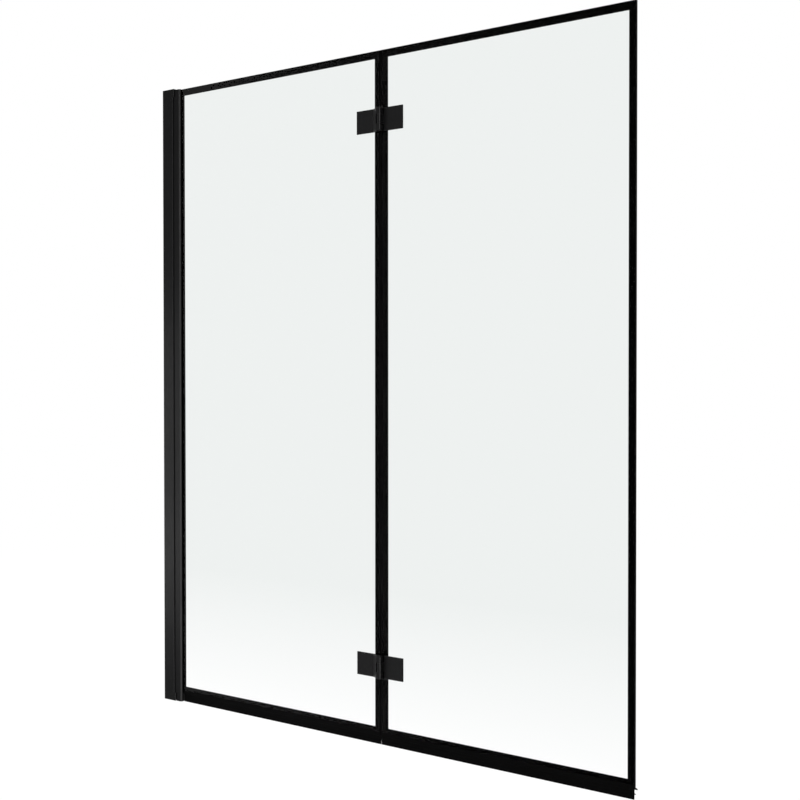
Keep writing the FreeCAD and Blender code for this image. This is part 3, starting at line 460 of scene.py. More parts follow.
@dataclass(frozen=True)
class CoatedFinish(Finish):
    """An opaque black finish with fine grain, soft clouds, lighter edges, a film of dust and, where set, a
    painted highlight on bevels and roundings.

    Attributes:
        name: name of the material.
        colour: linear base colour.
        edge_colour: colour where edges are thin or rubbed.
        dust_colour: colour of the film.
        cloud_spread: how far the clouds change the base colour.
        rough: mean roughness.
        rough_spread: how far the speckle changes it.
        edge_rough: roughness on the edges.
        specular: plain specular level.
        fine: grains per metre.
        wide: clouds per metre.
        grain_depth: height of the grain in metres.
        edge_width: width of the edge mask in metres.
        edge_share: strength of the edge colour.
        painted_highlight_colour: colour of the painted highlight on bevels and roundings, or None.
        painted_highlight_end: X in metres up to which the painted highlight shows.
        dust: strength of the film.
        lines: direction of die lines, or None.
        lines_across: die lines per metre across it.
        lines_along: breaks in them per metre.
        lines_depth: their height in metres.
    """

    name: str
    colour: Colour
    edge_colour: Colour
    dust_colour: Colour = (0.16, 0.16, 0.155)
    cloud_spread: float = 0.14
    rough: float = 0.42
    rough_spread: float = 0.05
    edge_rough: float = 0.34
    specular: float = 0.15
    fine: float = 1500.0
    wide: float = 9.0
    grain_depth: float = 0.000012
    edge_width: float = 0.0006
    edge_share: float = 0.6
    painted_highlight_colour: Colour | None = None
    painted_highlight_end: float = 2.0
    dust: float = 0.04
    lines: Run | None = None
    lines_across: float = Effects.LINES_ACROSS
    lines_along: float = 3.0
    lines_depth: float = 0.000008

    def paint(self, tree: Tree) -> None:
        """Builds the coat: clouds shade the colour, edges turn lighter and smoother, a painted highlight
        lightens bevels and roundings, dust lies on top.

        Args:
            tree: the material's empty tree.
        """
        grain = tree.group(Effects.grain(), Fine=self.fine, Wide=self.wide)
        edge = tree.group(Effects.edge(), Width=self.edge_width)["Mask"]
        dust = tree.group(Effects.dust(), Amount=self.dust)["Mask"]
        edge_share = tree.math("MULTIPLY", edge, self.edge_share)
        coat = tree.mix(grain["Cloud"], *self.shades(self.colour, self.cloud_spread))
        coat = tree.mix(edge_share, coat, self.edge_colour)
        # Painted highlight: bevels and roundings between the room side and the free side take a lighter
        # colour.
        if self.painted_highlight_colour is not None:
            painted_highlight = tree.group(Effects.painted_highlight(), End=self.painted_highlight_end)["Mask"]
            coat = tree.mix(painted_highlight, coat, self.painted_highlight_colour)
        shader = tree.node("BsdfPrincipled", inputs={
            "Specular IOR Level": self.specular, "IOR": GLASS_INDEX,
            "Base Color": tree.mix(dust, coat, self.dust_colour),
            "Roughness": self.roughness(tree, grain["Speckle"], edge_share),
            "Normal": self.relief(tree, grain["Height"])})
        tree.finish(shader.outputs[0])

    def roughness(self, tree: Tree, speckle: Socket, edge_share: Socket) -> Socket:
        """Speckled roughness that turns to the edge's own on the edges.

        Args:
            tree: the material's tree.
            speckle: speckle, 0 to 1.
            edge_share: mask of the edges.

        Returns:
            The roughness.
        """
        span = (self.rough - self.rough_spread, self.rough + self.rough_spread)
        coat = tree.ramp(speckle, (0.0, 1.0), span, smooth=False)
        mixed = tree.node("Mix", data_type="FLOAT", inputs={0: edge_share, 2: coat, 3: self.edge_rough})
        return mixed.outputs[0]

    def relief(self, tree: Tree, height: Socket) -> Socket:
        """Normal with the grain, and with die lines on top where the piece was extruded.

        Args:
            tree: the material's tree.
            height: height of the grain, 0 to 1.

        Returns:
            The normal.
        """
        normal = tree.bump(height, self.grain_depth)
        if self.lines is None:
            return normal
        scale = dict.fromkeys("XYZ", self.lines_across)
        scale["XYZ"[self.lines.value]] = self.lines_along
        drawn = tree.group(Effects.drawn(), **scale)["Height"]
        return tree.bump(drawn, self.lines_depth, normal)


@dataclass(frozen=True)
class GlassFinish(Finish):
    """Clear toughened glass with a pale grey-green tint that painted light makes lighter towards the lower
    edge, a slight roller wave, and ground edges whose black is a painted reflection of the enamel band.

    Attributes:
        name: name of the material.
        tint: colour of the glass, over the whole thickness.
        clear: lighter colour near the lower edge, painted light.
        painted_light_fade: heights in metres where the painted light is full and where the full tint begins.
        wave: clouds of the roller wave.
        wave_depth: height of the wave in metres.
        painted_dark_rim: colour of the ground edges, near black as a painted reflection of the enamel band.
        rim_spread: how far the grit changes it.
        rim_rough: smallest and largest roughness of the edges.
        rim_specular: plain specular level of the edges.
        rim_turn: size of the normal's Y on the edges and on the faces.
        grit: grain of the edges.
        shadow: colour of the lamps' light behind it.
    """

    name: str = "toughened_glass"
    tint: Colour = (0.855, 0.880, 0.871)
    # Painted light: the lighter colour that the pane takes towards its lower edge.
    clear: Colour = (0.985, 0.992, 0.990)
    painted_light_fade: Span = (-0.66, -0.39)
    wave: Texture = Texture(7.0, 1.0, 0.4)
    wave_depth: float = 0.00002
    painted_dark_rim: Colour = (0.0008, 0.0008, 0.0008)
    rim_spread: float = 0.3
    rim_rough: Span = (0.4, 0.6)
    rim_specular: float = 0.02
    rim_turn: Span = (0.85, 0.95)
    grit: Texture = Texture(2600.0, 2.0, 0.5)
    shadow: Colour = (0.94, 0.96, 0.95)

    def paint(self, tree: Tree) -> None:
        """Builds the glass: painted light lightens the tint towards the lower edge, edges are black and matt
        as a painted reflection of the enamel band, lamps shine through it.

        Args:
            tree: the material's empty tree.
        """
        side = tree.part(tree.node("NewGeometry").outputs["True Normal"], "Y")
        ground = tree.ramp(tree.math("ABSOLUTE", side), self.rim_turn, (1.0, 0.0))
        whole = tree.blend(ground, self.pane(tree), self.ground_edge(tree))
        through = tree.node("BsdfTransparent", inputs={"Color": (*self.shadow, 1.0)})
        shadow_ray = tree.node("LightPath").outputs["Is Shadow Ray"]
        tree.finish(tree.blend(shadow_ray, whole, through.outputs[0]))

    def pane(self, tree: Tree) -> Socket:
        """Shader of the clear faces, whose tint painted light makes lighter towards the lower edge.

        Args:
            tree: the material's tree.

        Returns:
            The shader.
        """
        place = tree.place()
        # Painted light: the tint turns to the lighter colour towards the lower edge.
        share = tree.ramp(tree.part(place, "Z"), self.painted_light_fade, smooth=False)
        pane = tree.node("BsdfPrincipled", inputs={
            "Transmission Weight": 1.0, "IOR": GLASS_INDEX, "Roughness": 0.0,
            "Specular Tint": (0.0, 0.0, 0.0, 1.0),
            "Base Color": tree.mix(share, self.clear, self.tint),
            "Normal": tree.bump(tree.noise(place, self.wave), self.wave_depth)})
        return pane.outputs[0]

    def ground_edge(self, tree: Tree) -> Socket:
        """Shader of the ground edges, whose black is a painted reflection of the enamel band.

        Args:
            tree: the material's tree.

        Returns:
            The shader.
        """
        grit = tree.noise(tree.place(), self.grit)
        # Painted reflection: the edges are black and matt where they would mirror the black enamel band.
        painted_dark_rim = tree.node("BsdfPrincipled", inputs={
            "IOR": GLASS_INDEX, "Specular IOR Level": self.rim_specular,
            "Base Color": tree.mix(grit, *self.shades(self.painted_dark_rim, self.rim_spread)),
            "Roughness": tree.ramp(grit, Effects.MIDDLE, self.rim_rough)})
        return painted_dark_rim.outputs[0]


# The last colour of POWDER, SATIN and PLASTIC is a painted highlight on their bevels and roundings.
POWDER = CoatedFinish(
    "black_powder_coat", (0.0040, 0.0040, 0.0042), (0.012, 0.012, 0.012), rough=0.35, specular=0.045,
    painted_highlight_colour=(0.033, 0.033, 0.033))
SATIN = CoatedFinish(
    "black_satin_coat", (0.0040, 0.0040, 0.0042), (0.014, 0.014, 0.014), rough=0.33, specular=0.085,
    fine=2400.0, grain_depth=0.000007, painted_highlight_colour=(0.055, 0.055, 0.055), painted_highlight_end=0.66)
PLASTIC = CoatedFinish(
    "black_moulded_plastic", (0.0044, 0.0044, 0.0044), (0.012, 0.012, 0.012), rough=0.40, edge_rough=0.36,
    specular=0.045, fine=2600.0, grain_depth=0.00002, edge_width=0.0004, edge_share=0.4,
    painted_highlight_colour=(0.033, 0.033, 0.033))
RUBBER_X = CoatedFinish(
    "black_rubber_along_x", (0.0014, 0.0014, 0.0014), (0.004, 0.004, 0.004), rough=0.62, edge_rough=0.56,
    specular=0.012, fine=2200.0, grain_depth=0.000006, edge_share=0.3, dust=0.03, lines=Run.ALONG_X)
RUBBER_Z = replace(RUBBER_X, name="black_rubber_along_z", dust=0.02, lines=Run.ALONG_Z)
NYLON = CoatedFinish(
    "black_nylon", (0.010, 0.010, 0.010), (0.018, 0.018, 0.018), rough=0.48, edge_rough=0.44, specular=0.1,
    fine=1800.0, grain_depth=0.000008, edge_width=0.0002, edge_share=0.3)
STEEL = CoatedFinish(
    "black_oxide_steel", (0.016, 0.016, 0.017), (0.050, 0.049, 0.048), rough=0.34, edge_rough=0.26,
    specular=0.2, fine=3200.0, grain_depth=0.000005, edge_width=0.0003, edge_share=0.7, dust=0.0)
ENAMEL = CoatedFinish(
    "black_enamel_print", (0.0004, 0.0004, 0.0004), (0.001, 0.001, 0.001), rough=0.45, edge_rough=0.45,
    specular=0.004, fine=4200.0, grain_depth=0.000002, edge_share=0.1, dust=0.0)
GLASS = GlassFinish()


# Meshes


class Sheet:
    """Turns arrays of points into Blender objects."""

    CORNER_STEPS: ClassVar[int] = 6
    SHARP_ANGLE: ClassVar[float] = math.radians(32.0)

    @classmethod
    def rounded(cls, corners: Sequence[Sequence[float]]) -> np.ndarray:
        """Closed outline with rounded corners.

        Each corner P with reach r gives a quadratic curve from A, the point r back along the incoming side,
        to B, the point r ahead along the outgoing side: (1 - t)^2 A + 2 t (1 - t) P + t^2 B.

        Args:
            corners: rows of first coordinate, second coordinate and reach.

        Returns:
            Points of the outline, one row each.
        """
        table = np.asarray(corners, dtype=float)
        point, reach = table[:, :2], table[:, 2:3]
        back = np.roll(point, 1, axis=0) - point
        ahead = np.roll(point, -1, axis=0) - point
        start = point + reach * back / np.linalg.norm(back, axis=1, keepdims=True)
        end = point + reach * ahead / np.linalg.norm(ahead, axis=1, keepdims=True)
        t = np.linspace(0.0, 1.0, cls.CORNER_STEPS)[None, :, None]
        curve = (1 - t) ** 2 * start[:, None] + 2 * t * (1 - t) * point[:, None] + t ** 2 * end[:, None]
        return curve.reshape(-1, 2)

    @staticmethod
    def skin(stations: int, around: int, closed_path: bool) -> np.ndarray:
        """Quads between the stations of a closed profile that is carried along a path.

        The vertex of station i and profile point j has number i * around + j. Each quad takes two
        neighbouring stations and two neighbouring profile points.

        Args:
            stations: number of stations on the path.
            around: points of the closed profile.
            closed_path: joins the last station to the first.

        Returns:
            Vertex numbers, four to a row.
        """
        i = np.arange(stations if closed_path else stations - 1)[:, None]
        j = np.arange(around)[None, :]
        here, there = i * around, (i + 1) % stations * around
        right = (j + 1) % around
        return np.stack([here + j, here + right, there + right, there + j], axis=-1).reshape(-1, 4)

    @classmethod
    def carried(cls, name: str, points: np.ndarray, closed_path: bool) -> bpy.types.Object:
        """Object from a grid of points whose second axis goes round a closed profile.

        Args:
            name: name of the piece.
            points: array of stations, profile points and coordinates, in metres.
            closed_path: a ring has no ends. Otherwise both ends get a flat face.

        Returns:
            The new object, with smooth shading across shallow angles.
        """
        stations, around, _ = points.shape
        faces = cls.skin(stations, around, closed_path).tolist()
        if not closed_path:
            faces.append(np.arange(around)[::-1].tolist())
            faces.append((np.arange(around) + (stations - 1) * around).tolist())
        piece = cls.placed(name, points, faces)
        piece.data.validate()
        cls.face_outwards(piece.data)
        piece.data.set_sharp_from_angle(angle=cls.SHARP_ANGLE)
        return piece

    @staticmethod
    def placed(name: str, points: np.ndarray, faces: list[list[int]]) -> bpy.types.Object:
        """New object in the scene, at the origin.

        Args:
            name: name of the object and of its mesh.
            points: array of coordinates, in metres.
            faces: vertex numbers of each face.

        Returns:
            The object.
        """
        mesh = bpy.data.meshes.new(name)
        mesh.from_pydata(points.reshape(-1, 3).tolist(), [], faces)
        thing = bpy.data.objects.new(name, mesh)
        bpy.context.scene.collection.objects.link(thing)
        return thing

    @staticmethod
    def face_outwards(mesh: bpy.types.Mesh) -> None:
        """Turns all faces over where the volume under them comes out negative.

        The volume is a sixth of the sum of the triple products of each triangle's corners.

        Args:
            mesh: closed mesh with faces that agree with each other.
        """
        mesh.calc_loop_triangles()
        corners = np.empty(len(mesh.vertices) * 3)
        mesh.vertices.foreach_get("co", corners)
        order = np.empty(len(mesh.loop_triangles) * 3, dtype=np.int32)
        mesh.loop_triangles.foreach_get("vertices", order)
        a, b, c = corners.reshape(-1, 3)[order.reshape(-1, 3)].transpose(1, 0, 2)
        if float(np.einsum("ij,ij->i", a, np.cross(b, c)).sum()) < 0.0:
            mesh.flip_normals()

    @staticmethod
    def hand_over(piece: bpy.types.Object, body: Body, finish: Finish, slot: str, node: str) -> None:
        """Dresses a new piece and puts it in the place of its CAD node.

        Args:
            piece: the new object.
            body: the body it rides on.
            finish: its finish.
            slot: the record's material slot; not used.
            node: the CAD node it stands for.
        """
        piece.data.materials.append(finish.material())
        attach(piece, body.value)
        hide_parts(node)
        LOG.info("%s made, %d faces", piece.name, len(piece.data.polygons))


@dataclass
class StripProfile:
    """A strip of constant section, carried straight along X or Z.

    Attributes:
        corners: rows of first coordinate, second coordinate and corner reach, in millimetres. For a strip
            along X the coordinates are Y and Z, and for one along Z they are X and Y.
        start: one end, in metres.
        end: other end.
        run: direction of the strip.
        stations: sections along it.
    """

    corners: Sequence[Sequence[float]]
    start: float
    end: float
    run: Run
    stations: int = 2

    def points(self) -> np.ndarray:
        """Grid of points: the rounded section, repeated at even distances from one end to the other.

        Returns:
            Array of stations, profile points and coordinates, in metres.
        """
        section = Sheet.rounded(self.corners) * MM
        along = np.linspace(self.start, self.end, self.stations)
        flat = np.broadcast_to(section[None], (self.stations, *section.shape))
        far = np.broadcast_to(along[:, None, None], (self.stations, len(section), 1))
        order = (far, flat) if self.run is Run.ALONG_X else (flat, far)
        return np.concatenate(order, axis=-1)

    def piece(self, name: str) -> bpy.types.Object:
        """Makes the strip as an object with closed ends."""
        return Sheet.carried(name, self.points(), closed_path=False)


# Pieces that are finer than their CAD nodes


@dataclass
class GlazingGasket:
    """Rubber gasket between the glass and one side of the slim profile.

    Attributes:
        name: name of the piece.
        node: CAD node it stands for.
        side: 1 on the bath side and -1 on the room side.
        low: lower end in metres.
        high: upper end.
        section: corners of the outline in X and Y on the bath side, each with its reach.
    """

    name: str
    node: str
    side: int
    low: float
    high: float
    section: ClassVar[np.ndarray] = np.array([
        (45.1, 3.02, 0.2), (52.9, 3.02, 0.5), (53.0, 4.45, 0.7), (50.2, 4.5, 0.3), (49.9, 4.5, 0.2),
        (49.9, 7.35, 0.5), (48.0, 7.4, 0.8), (47.2, 6.2, 0.6), (46.4, 7.4, 0.6), (45.1, 7.3, 0.5)])

    def build(self) -> None:
        """Makes the gasket: a rib locked behind the lip, a neck, and a rolled nose on the glass."""
        corners = self.section * (1, self.side, 1)
        piece = StripProfile(corners, self.low, self.high, Run.ALONG_Z).piece(self.name)
        Sheet.hand_over(piece, Body.INNER, RUBBER_Z, "black_rubber", self.node)


@dataclass
class EnamelBand:
    """Black enamel frame fired on the bath side of a pane.

    The section is a flat slab whose inner edge thins out a little, and it goes once round the pane. It
    starts slightly inside the glass, so that no air lies between them. Lengths are millimetres.

    Attributes:
        name: name of the piece.
        node: CAD node it stands for.
        body: body it rides on.
        left: outer edge of the band.
        right: other outer edge.
        low: lower outer edge.
        high: upper outer edge.
        wide: width of the band.
        front: face in the glass.
        back: free face.
        sink: how far both edges reach into the glass.
        thin: how far the inner edge thins out.
        ease: bevel of the outer edge.
        inner_corner: radius of the inner corners.
        outer_corner: radius of the outer corners.
        corner_points: points on each corner.
    """

    name: str
    node: str
    body: Body
    left: float
    right: float
    low: float = -680.55
    high: float = 697.55
    wide: float = 14.55
    front: float = 2.83
    back: float = 2.999
    sink: float = 0.02
    thin: float = 0.03
    ease: float = 0.1
    inner_corner: float = 0.6
    outer_corner: float = 1.0
    corner_points: int = 8

    def build(self) -> None:
        """Makes the band: a rectangle offset inwards by each step of the section, with rounded corners."""
        inside = self.wide + self.sink
        steps = np.array([
            (-self.sink, self.front), (inside, self.front), (inside, self.back - self.thin),
            (self.wide - self.thin, self.back), (self.ease, self.back), (-self.sink, self.back - self.sink)])
        centre = np.array([self.left + self.right, self.low + self.high]) / 2
        half = np.array([self.right - self.left, self.high - self.low]) / 2
        quarter = math.pi / 2
        angle = quarter * np.arange(4)[:, None] + np.linspace(0.0, quarter, self.corner_points)
        unit = np.stack([np.cos(angle), np.sin(angle)], axis=-1).reshape(-1, 2)
        corner = np.repeat(np.array([(1, 1), (-1, 1), (-1, -1), (1, -1)]), self.corner_points, axis=0)
        offset = steps[None, :, :1]
        radius = self.outer_corner - (self.outer_corner - self.inner_corner) * offset / self.wide
        flat = centre + corner[:, None] * (half - offset - radius) + unit[:, None] * radius
        deep = np.broadcast_to(steps[None, :, 1:], (len(unit), len(steps), 1))
        points = np.concatenate([flat[..., :1], deep, flat[..., 1:]], axis=-1) * MM
        piece = Sheet.carried(self.name, points, closed_path=True)
        Sheet.hand_over(piece, self.body, ENAMEL, "enamel", self.node)


@dataclass
class BottomSeal:
    """Clip-on seal under a pane, with two legs, a drip fin, a small fin and a wiping blade.

    Attributes:
        name: name of the piece.
        node: CAD node it stands for.
        body: body it rides on.
        start: end towards the wall, in metres.
        end: end towards the free edge.
        stations: sections along it.
        section: corners of the outline in Y and in height over the glass edge, each with its reach.
    """

    name: str
    node: str
    body: Body
    start: float
    end: float
    stations: int = 24
    section: ClassVar[np.ndarray] = np.array([
        (-3.03, 0.1, 0.3), (-2.98, 3.5, 1.0), (-3.05, 7.0, 0.3), (-3.7, 7.0, 0.4), (-4.1, 5.8, 0.8),
        (-4.1, -1.0, 1.0), (-3.4, -2.0, 0.9), (-2.1, -2.2, 0.8), (-1.8, -6.0, 1.5), (-1.85, -15.0, 2.0),
        (-1.75, -19.0, 0.18), (-0.6, -19.0, 0.3), (-0.25, -16.0, 1.5), (-0.2, -10.2, 1.0),
        (2.0, -10.0, 1.5), (4.75, -12.1, 0.3), (4.8, -11.3, 0.2), (2.6, -9.0, 1.4), (0.2, -8.0, 1.2),
        (-0.15, -6.6, 0.8), (0.0, -2.2, 0.9), (3.2, -2.0, 0.8), (4.2, -1.7, 0.6), (8.6, -2.4, 2.2),
        (12.05, -5.6, 0.25), (12.1, -4.9, 0.2), (9.4, -1.1, 2.4), (4.8, -0.2, 1.0), (4.1, 1.0, 0.6),
        (4.1, 5.8, 0.8), (3.7, 7.0, 0.4), (3.05, 7.0, 0.3), (2.98, 3.5, 1.0), (3.03, 0.1, 0.3),
        (2.4, -0.02, 0.3), (-2.4, -0.02, 0.3)])

    def build(self) -> None:
        """Makes the seal: one outline in Y and Z, with curved fins and lips, carried along the pane."""
        corners = self.section + (0.0, GLASS_LOW, 0.0)
        piece = StripProfile(corners, self.start, self.end, Run.ALONG_X, self.stations).piece(self.name)
        Sheet.hand_over(piece, self.body, RUBBER_X, "black_rubber", self.node)


@dataclass
class GapSeal:
    """Soft strip on the hinge edge of the folding pane, with two beads and a round nose.

    Attributes:
        low: lower end in metres.
        high: upper end.
        section: corners of the outline in X and Y, each with its reach.
    """

    low: float = -0.690
    high: float = 0.698
    section: ClassVar[np.ndarray] = np.array([
        (634.02, -2.4, 0.2), (634.02, 2.4, 0.2), (633.5, 2.6, 0.3), (632.9, 2.2, 0.3), (632.3, 2.55, 0.5),
        (630.5, 1.9, 1.0), (630.3, 0.0, 1.1), (630.5, -1.9, 1.0), (632.3, -2.55, 0.5),
        (632.9, -2.2, 0.3), (633.5, -2.6, 0.3)])

    def build(self) -> None:
        """Makes the strip: a flat foot, two shallow grooves and a nose, carried up the pane."""
        piece = StripProfile(self.section, self.low, self.high, Run.ALONG_Z).piece("gap_seal_strip")
        Sheet.hand_over(piece, Body.OUTER, RUBBER_Z, "black_rubber", "gap_seal")


# Sub-assemblies


class SubAssembly:
    """Base of the sub-assemblies: gives finishes to CAD nodes that keep their shape."""

    @staticmethod
    def coat(finish: Finish, nodes: Iterable[str]) -> None:
        """Puts a finish on all material slots of CAD nodes.

        Args:
            finish: the finish.
            nodes: names of the nodes.
        """
        for node in nodes:
            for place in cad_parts[node].material_slots:
                place.material = finish.material()
            LOG.info("%s dressed in %s", node, finish.name)


@dataclass
class WallSide(SubAssembly):
    """The wall profile with its end pieces and clamp screws.

    Attributes:
        metal: extruded nodes.
        moulded: plastic nodes.
        screws: steel nodes.
    """

    metal: tuple[str, ...] = ("wall_profile",)
    moulded: tuple[str, ...] = ("wall_top_cap", "wall_foot_cap")
    screws: tuple[str, ...] = ("clamp_screws",)

    def dress(self) -> None:
        """Gives every piece its finish."""
        self.coat(POWDER, self.metal)
        self.coat(PLASTIC, self.moulded)
        self.coat(STEEL, self.screws)


@dataclass
class InnerPanel(SubAssembly):
    """The slim profile with the fixed pane, its gaskets, enamel band and seal.

    Attributes:
        metal: extruded nodes.
        moulded: plastic nodes.
        band: both outer edges of the enamel band, in millimetres.
        seal_in_gap: how far the seal reaches into the gap between the panes, in metres.
    """

    metal: tuple[str, ...] = ("glass_profile",)
    moulded: tuple[str, ...] = ("profile_top_cap", "profile_foot_cap", "setting_block", "edge_spacers")
    band: Span = (45.45, 629.55)
    seal_in_gap: float = 0.0007

    def dress(self) -> None:
        """Gives the CAD nodes their finish and makes the finer pieces."""
        self.coat(POWDER, self.metal)
        self.coat(PLASTIC, self.moulded)
        self.coat(GLASS, ("inner_glass",))
        low, high = (corner[2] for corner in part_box("room_gasket"))
        GlazingGasket("room_side_gasket", "room_gasket", -1, low, high).build()
        GlazingGasket("bath_side_gasket", "bath_gasket", 1, low, high).build()
        EnamelBand("inner_enamel_band", "inner_print", Body.INNER, *self.band).build()
        start, end = (corner[0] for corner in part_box("inner_bottom_seal"))
        end += self.seal_in_gap
        BottomSeal("inner_wiping_seal", "inner_bottom_seal", Body.INNER, start, end).build()


@dataclass
class OuterPanel(SubAssembly):
    """The folding pane with its enamel band and seals.

    Attributes:
        band: both outer edges of the enamel band, in millimetres.
    """

    band: Span = (634.45, 1199.55)

    def dress(self) -> None:
        """Gives the pane its finish and makes the finer pieces."""
        self.coat(GLASS, ("outer_glass",))
        EnamelBand("outer_enamel_band", "outer_print", Body.OUTER, *self.band).build()
        start, end = (corner[0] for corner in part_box("outer_bottom_seal"))
        BottomSeal("outer_wiping_seal", "outer_bottom_seal", Body.OUTER, start, end).build()
        GapSeal().build()


@dataclass
class Hinge(SubAssembly):
    """One glass-to-glass hinge.

    Attributes:
        where: upper or lower, the first word of its nodes.
    """

    where: str

    def dress(self) -> None:
        """Gives every piece of the hinge its finish."""
        for half in ("fixed", "turning"):
            name = f"{self.where}_{half}"
            self.coat(SATIN, (f"{name}_leaf", f"{name}_back_plate"))
            self.coat(RUBBER_X, (f"{name}_front_pad", f"{name}_back_pad"))
            self.coat(NYLON, (f"{name}_sleeves",))
            self.coat(STEEL, (f"{name}_screws",))
        self.coat(NYLON, (f"{self.where}_bush", f"{self.where}_washers"))
        self.coat(STEEL, (f"{self.where}_hinge_pin",))


# Studio


@dataclass(frozen=True)
class Lamp:
    """A rectangular lamp that neither the camera nor the panes show.

    Attributes:
        name: name of the lamp.
        place: its middle.
        aim: the point it faces.
        size: width and height in metres.
        power: watts.
        shine: shows in the gloss of the coats.
    """

    name: str
    place: Place
    aim: Place
    size: Span
    power: float
    shine: bool = False

    def hang(self) -> None:
        """Adds the lamp to the scene."""
        data = bpy.data.lights.new(self.name, "AREA")
        data.shape = "RECTANGLE"
        data.size, data.size_y = self.size
        data.energy = self.power
        lamp = bpy.data.objects.new(self.name, data)
        towards = Vector(self.aim) - Vector(self.place)
        turn = towards.to_track_quat("-Z", "Y").to_matrix().to_4x4()
        lamp.matrix_world = Matrix.Translation(self.place) @ turn
        lamp.visible_camera = False
        lamp.visible_transmission = False
        lamp.visible_glossy = self.shine
        bpy.context.scene.collection.objects.link(lamp)
        if self.shine:
            self.keep_off_panes(lamp)
        LOG.info("%s lamp hung", self.name)

    @staticmethod
    def keep_off_panes(lamp: bpy.types.Object) -> None:
        """Links a lamp to everything but the two panes, so that they don't mirror it.

        Args:
            lamp: the lamp's object.
        """
        panes = bpy.data.collections.new(f"{lamp.name}_leaves_out")
        for node in ("inner_glass", "outer_glass"):
            panes.objects.link(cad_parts[node])
        for member in panes.collection_objects:
            member.light_linking.link_state = "EXCLUDE"
        lamp.light_linking.receiver_collection = panes


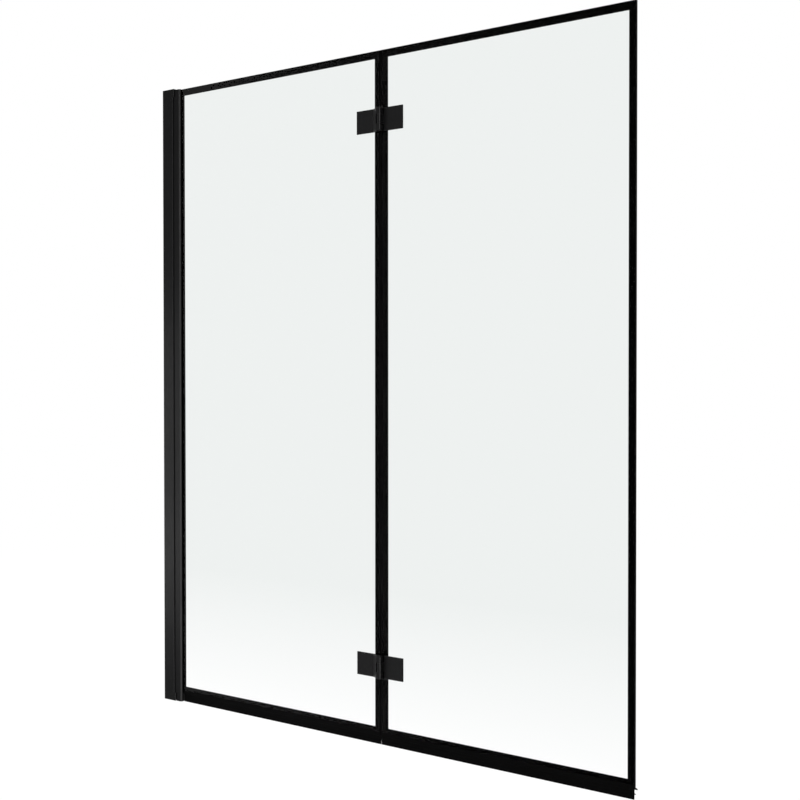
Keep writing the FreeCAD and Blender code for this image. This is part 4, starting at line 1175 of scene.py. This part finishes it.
@dataclass
class Studio:
    """Pale floor, soft lamps, white surroundings and the camera of the photograph.

    Attributes:
        floor_level: height of the floor.
        floor_reach: half its side.
        floor_lines: grid lines along each side.
        floor_colour: colour of its matt part.
        floor_white: share of its white part for the camera and for gloss.
        floor_lift: strength of the white there, which makes up for the matt part.
        ambient: plain light of the surroundings on matt surfaces.
        lamps: all lamps.
        camera_place: place of the camera.
        turn: camera azimuth in degrees.
        dip: how far the camera looks down, in degrees.
        roll: camera roll in degrees.
        lens: focal length in millimetres.
        sensor: width of the sensor in millimetres.
        shift: vertical shift of the frame.
        clip: nearest and farthest distance that the camera sees.
    """

    floor_level: float = -0.7
    floor_reach: float = 9.0
    floor_lines: int = 5
    floor_colour: Colour = (0.92, 0.92, 0.92)
    floor_white: float = 0.95
    floor_lift: float = 1.045
    ambient: float = 0.16
    lamps: ClassVar[tuple[Lamp, ...]] = (
        Lamp("key", (-1.07, -0.85, -0.22), (0.02, 0.0, -0.22), (0.2, 0.94), 5.8, shine=True),
        Lamp("foot_key", (-0.56, -0.44, -0.50), (0.02, 0.0, -0.5), (0.14, 0.36), 0.75, shine=True),
        Lamp("near_fill", (2.0, -2.2, -0.1), (0.2, 0.0, -0.15), (1.0, 1.0), 70.0),
        Lamp("foot_fill", (0.5, -0.5, -0.45), (0.05, 0.0, -0.5), (0.1, 0.3), 1.8),
        Lamp("bath_fill", (-1.2, 1.9, 0.9), (0.5, 0.0, 0.0), (1.6, 1.6), 15.0),
    )
    camera_place: Place = (2.2610, -2.0481, 0.0397)
    turn: float = 37.683
    dip: float = 0.862
    roll: float = -0.0286
    lens: float = 58.455
    sensor: float = 36.0
    shift: float = -0.0025
    clip: Span = (0.01, 100.0)

    def build(self) -> None:
        """Sets up everything round the object."""
        self.make_floor()
        self.make_world()
        for lamp in self.lamps:
            lamp.hang()
        self.make_camera()
        bpy.context.scene.view_settings.view_transform = "Standard"

    def make_floor(self) -> None:
        """Makes the floor: a square grid at the floor's level, with its own material."""
        lines = self.floor_lines
        side = np.linspace(-self.floor_reach, self.floor_reach, lines)
        x, y = np.meshgrid(side, side, indexing="ij")
        points = np.stack([x, y, np.full_like(x, self.floor_level)], axis=-1)
        first = np.arange(lines * lines).reshape(lines, lines)[:-1, :-1].reshape(-1, 1)
        faces = first + np.array([0, lines, lines + 1, 1])
        floor = Sheet.placed("studio_floor", points, faces.tolist())
        floor.data.materials.append(self.floor_material())

    def floor_material(self) -> bpy.types.Material:
        """Makes a floor that the camera sees as white, apart from the object's shadow.

        Through the glass the floor is plain white, so that the pools of light under the lamps don't show in
        the panes.

        Returns:
            The material.
        """
        material = bpy.data.materials.new("studio_floor")
        tree = Tree.emptied(material)
        path = tree.node("LightPath").outputs
        through = path["Is Transmission Ray"]
        seen = tree.math("MAXIMUM", path["Is Camera Ray"], path["Is Glossy Ray"])
        share = tree.math("MAXIMUM", tree.math("MULTIPLY", seen, self.floor_white), through)
        matt = tree.node("BsdfPrincipled", inputs={
            "Base Color": (*self.floor_colour, 1.0), "Roughness": 0.9, "Specular IOR Level": 0.0})
        strength = tree.ramp(through, (0.0, 1.0), (self.floor_lift, 1.0), smooth=False)
        white = tree.node("Emission", inputs={"Color": (*WHITE, 1.0), "Strength": strength})
        tree.finish(tree.blend(share, matt.outputs[0], white.outputs[0]))
        return material

    def make_world(self) -> None:
        """Makes the surroundings: white for the camera, gloss and glass, and a plain pale light otherwise."""
        world = bpy.data.worlds.new("studio")
        bpy.context.scene.world = world
        tree = Tree.emptied(world)
        path = tree.node("LightPath").outputs
        mirrored = tree.math("MAXIMUM", path["Is Glossy Ray"], path["Is Transmission Ray"])
        seen = tree.math("MAXIMUM", path["Is Camera Ray"], mirrored)
        colour = tree.mix(seen, (self.ambient,) * 3, WHITE)
        light = tree.node("Background", inputs={"Strength": 1.0, "Color": colour})
        tree.finish(light.outputs[0], "OutputWorld")

    def make_camera(self) -> None:
        """Places the camera: ahead from its azimuth and dip, then rolled about its own axis."""
        az, dip, roll = (math.radians(angle) for angle in (self.turn, self.dip, self.roll))
        ahead = Vector((-math.sin(az) * math.cos(dip), math.cos(az) * math.cos(dip), -math.sin(dip)))
        right = Vector((math.cos(az), math.sin(az), 0.0))
        up = right.cross(ahead)
        turned_right = right * math.cos(roll) + up * math.sin(roll)
        turned_up = up * math.cos(roll) - right * math.sin(roll)
        data = bpy.data.cameras.new("camera")
        data.sensor_width, data.lens, data.shift_y = self.sensor, self.lens, self.shift
        data.clip_start, data.clip_end = self.clip
        camera = bpy.data.objects.new("camera", data)
        turn = Matrix((turned_right, turned_up, -ahead)).transposed().to_4x4()
        camera.matrix_world = Matrix.Translation(self.camera_place) @ turn
        bpy.context.scene.collection.objects.link(camera)
        bpy.context.scene.camera = camera


def main() -> None:
    """Builds the sub-assemblies in order and sets up the studio."""
    logging.basicConfig(level=logging.INFO, format="%(message)s")
    for assembly in (WallSide(), InnerPanel(), OuterPanel(), Hinge("upper"), Hinge("lower")):
        assembly.dress()
    Studio().build()


if __name__ == "__main__":
    main()
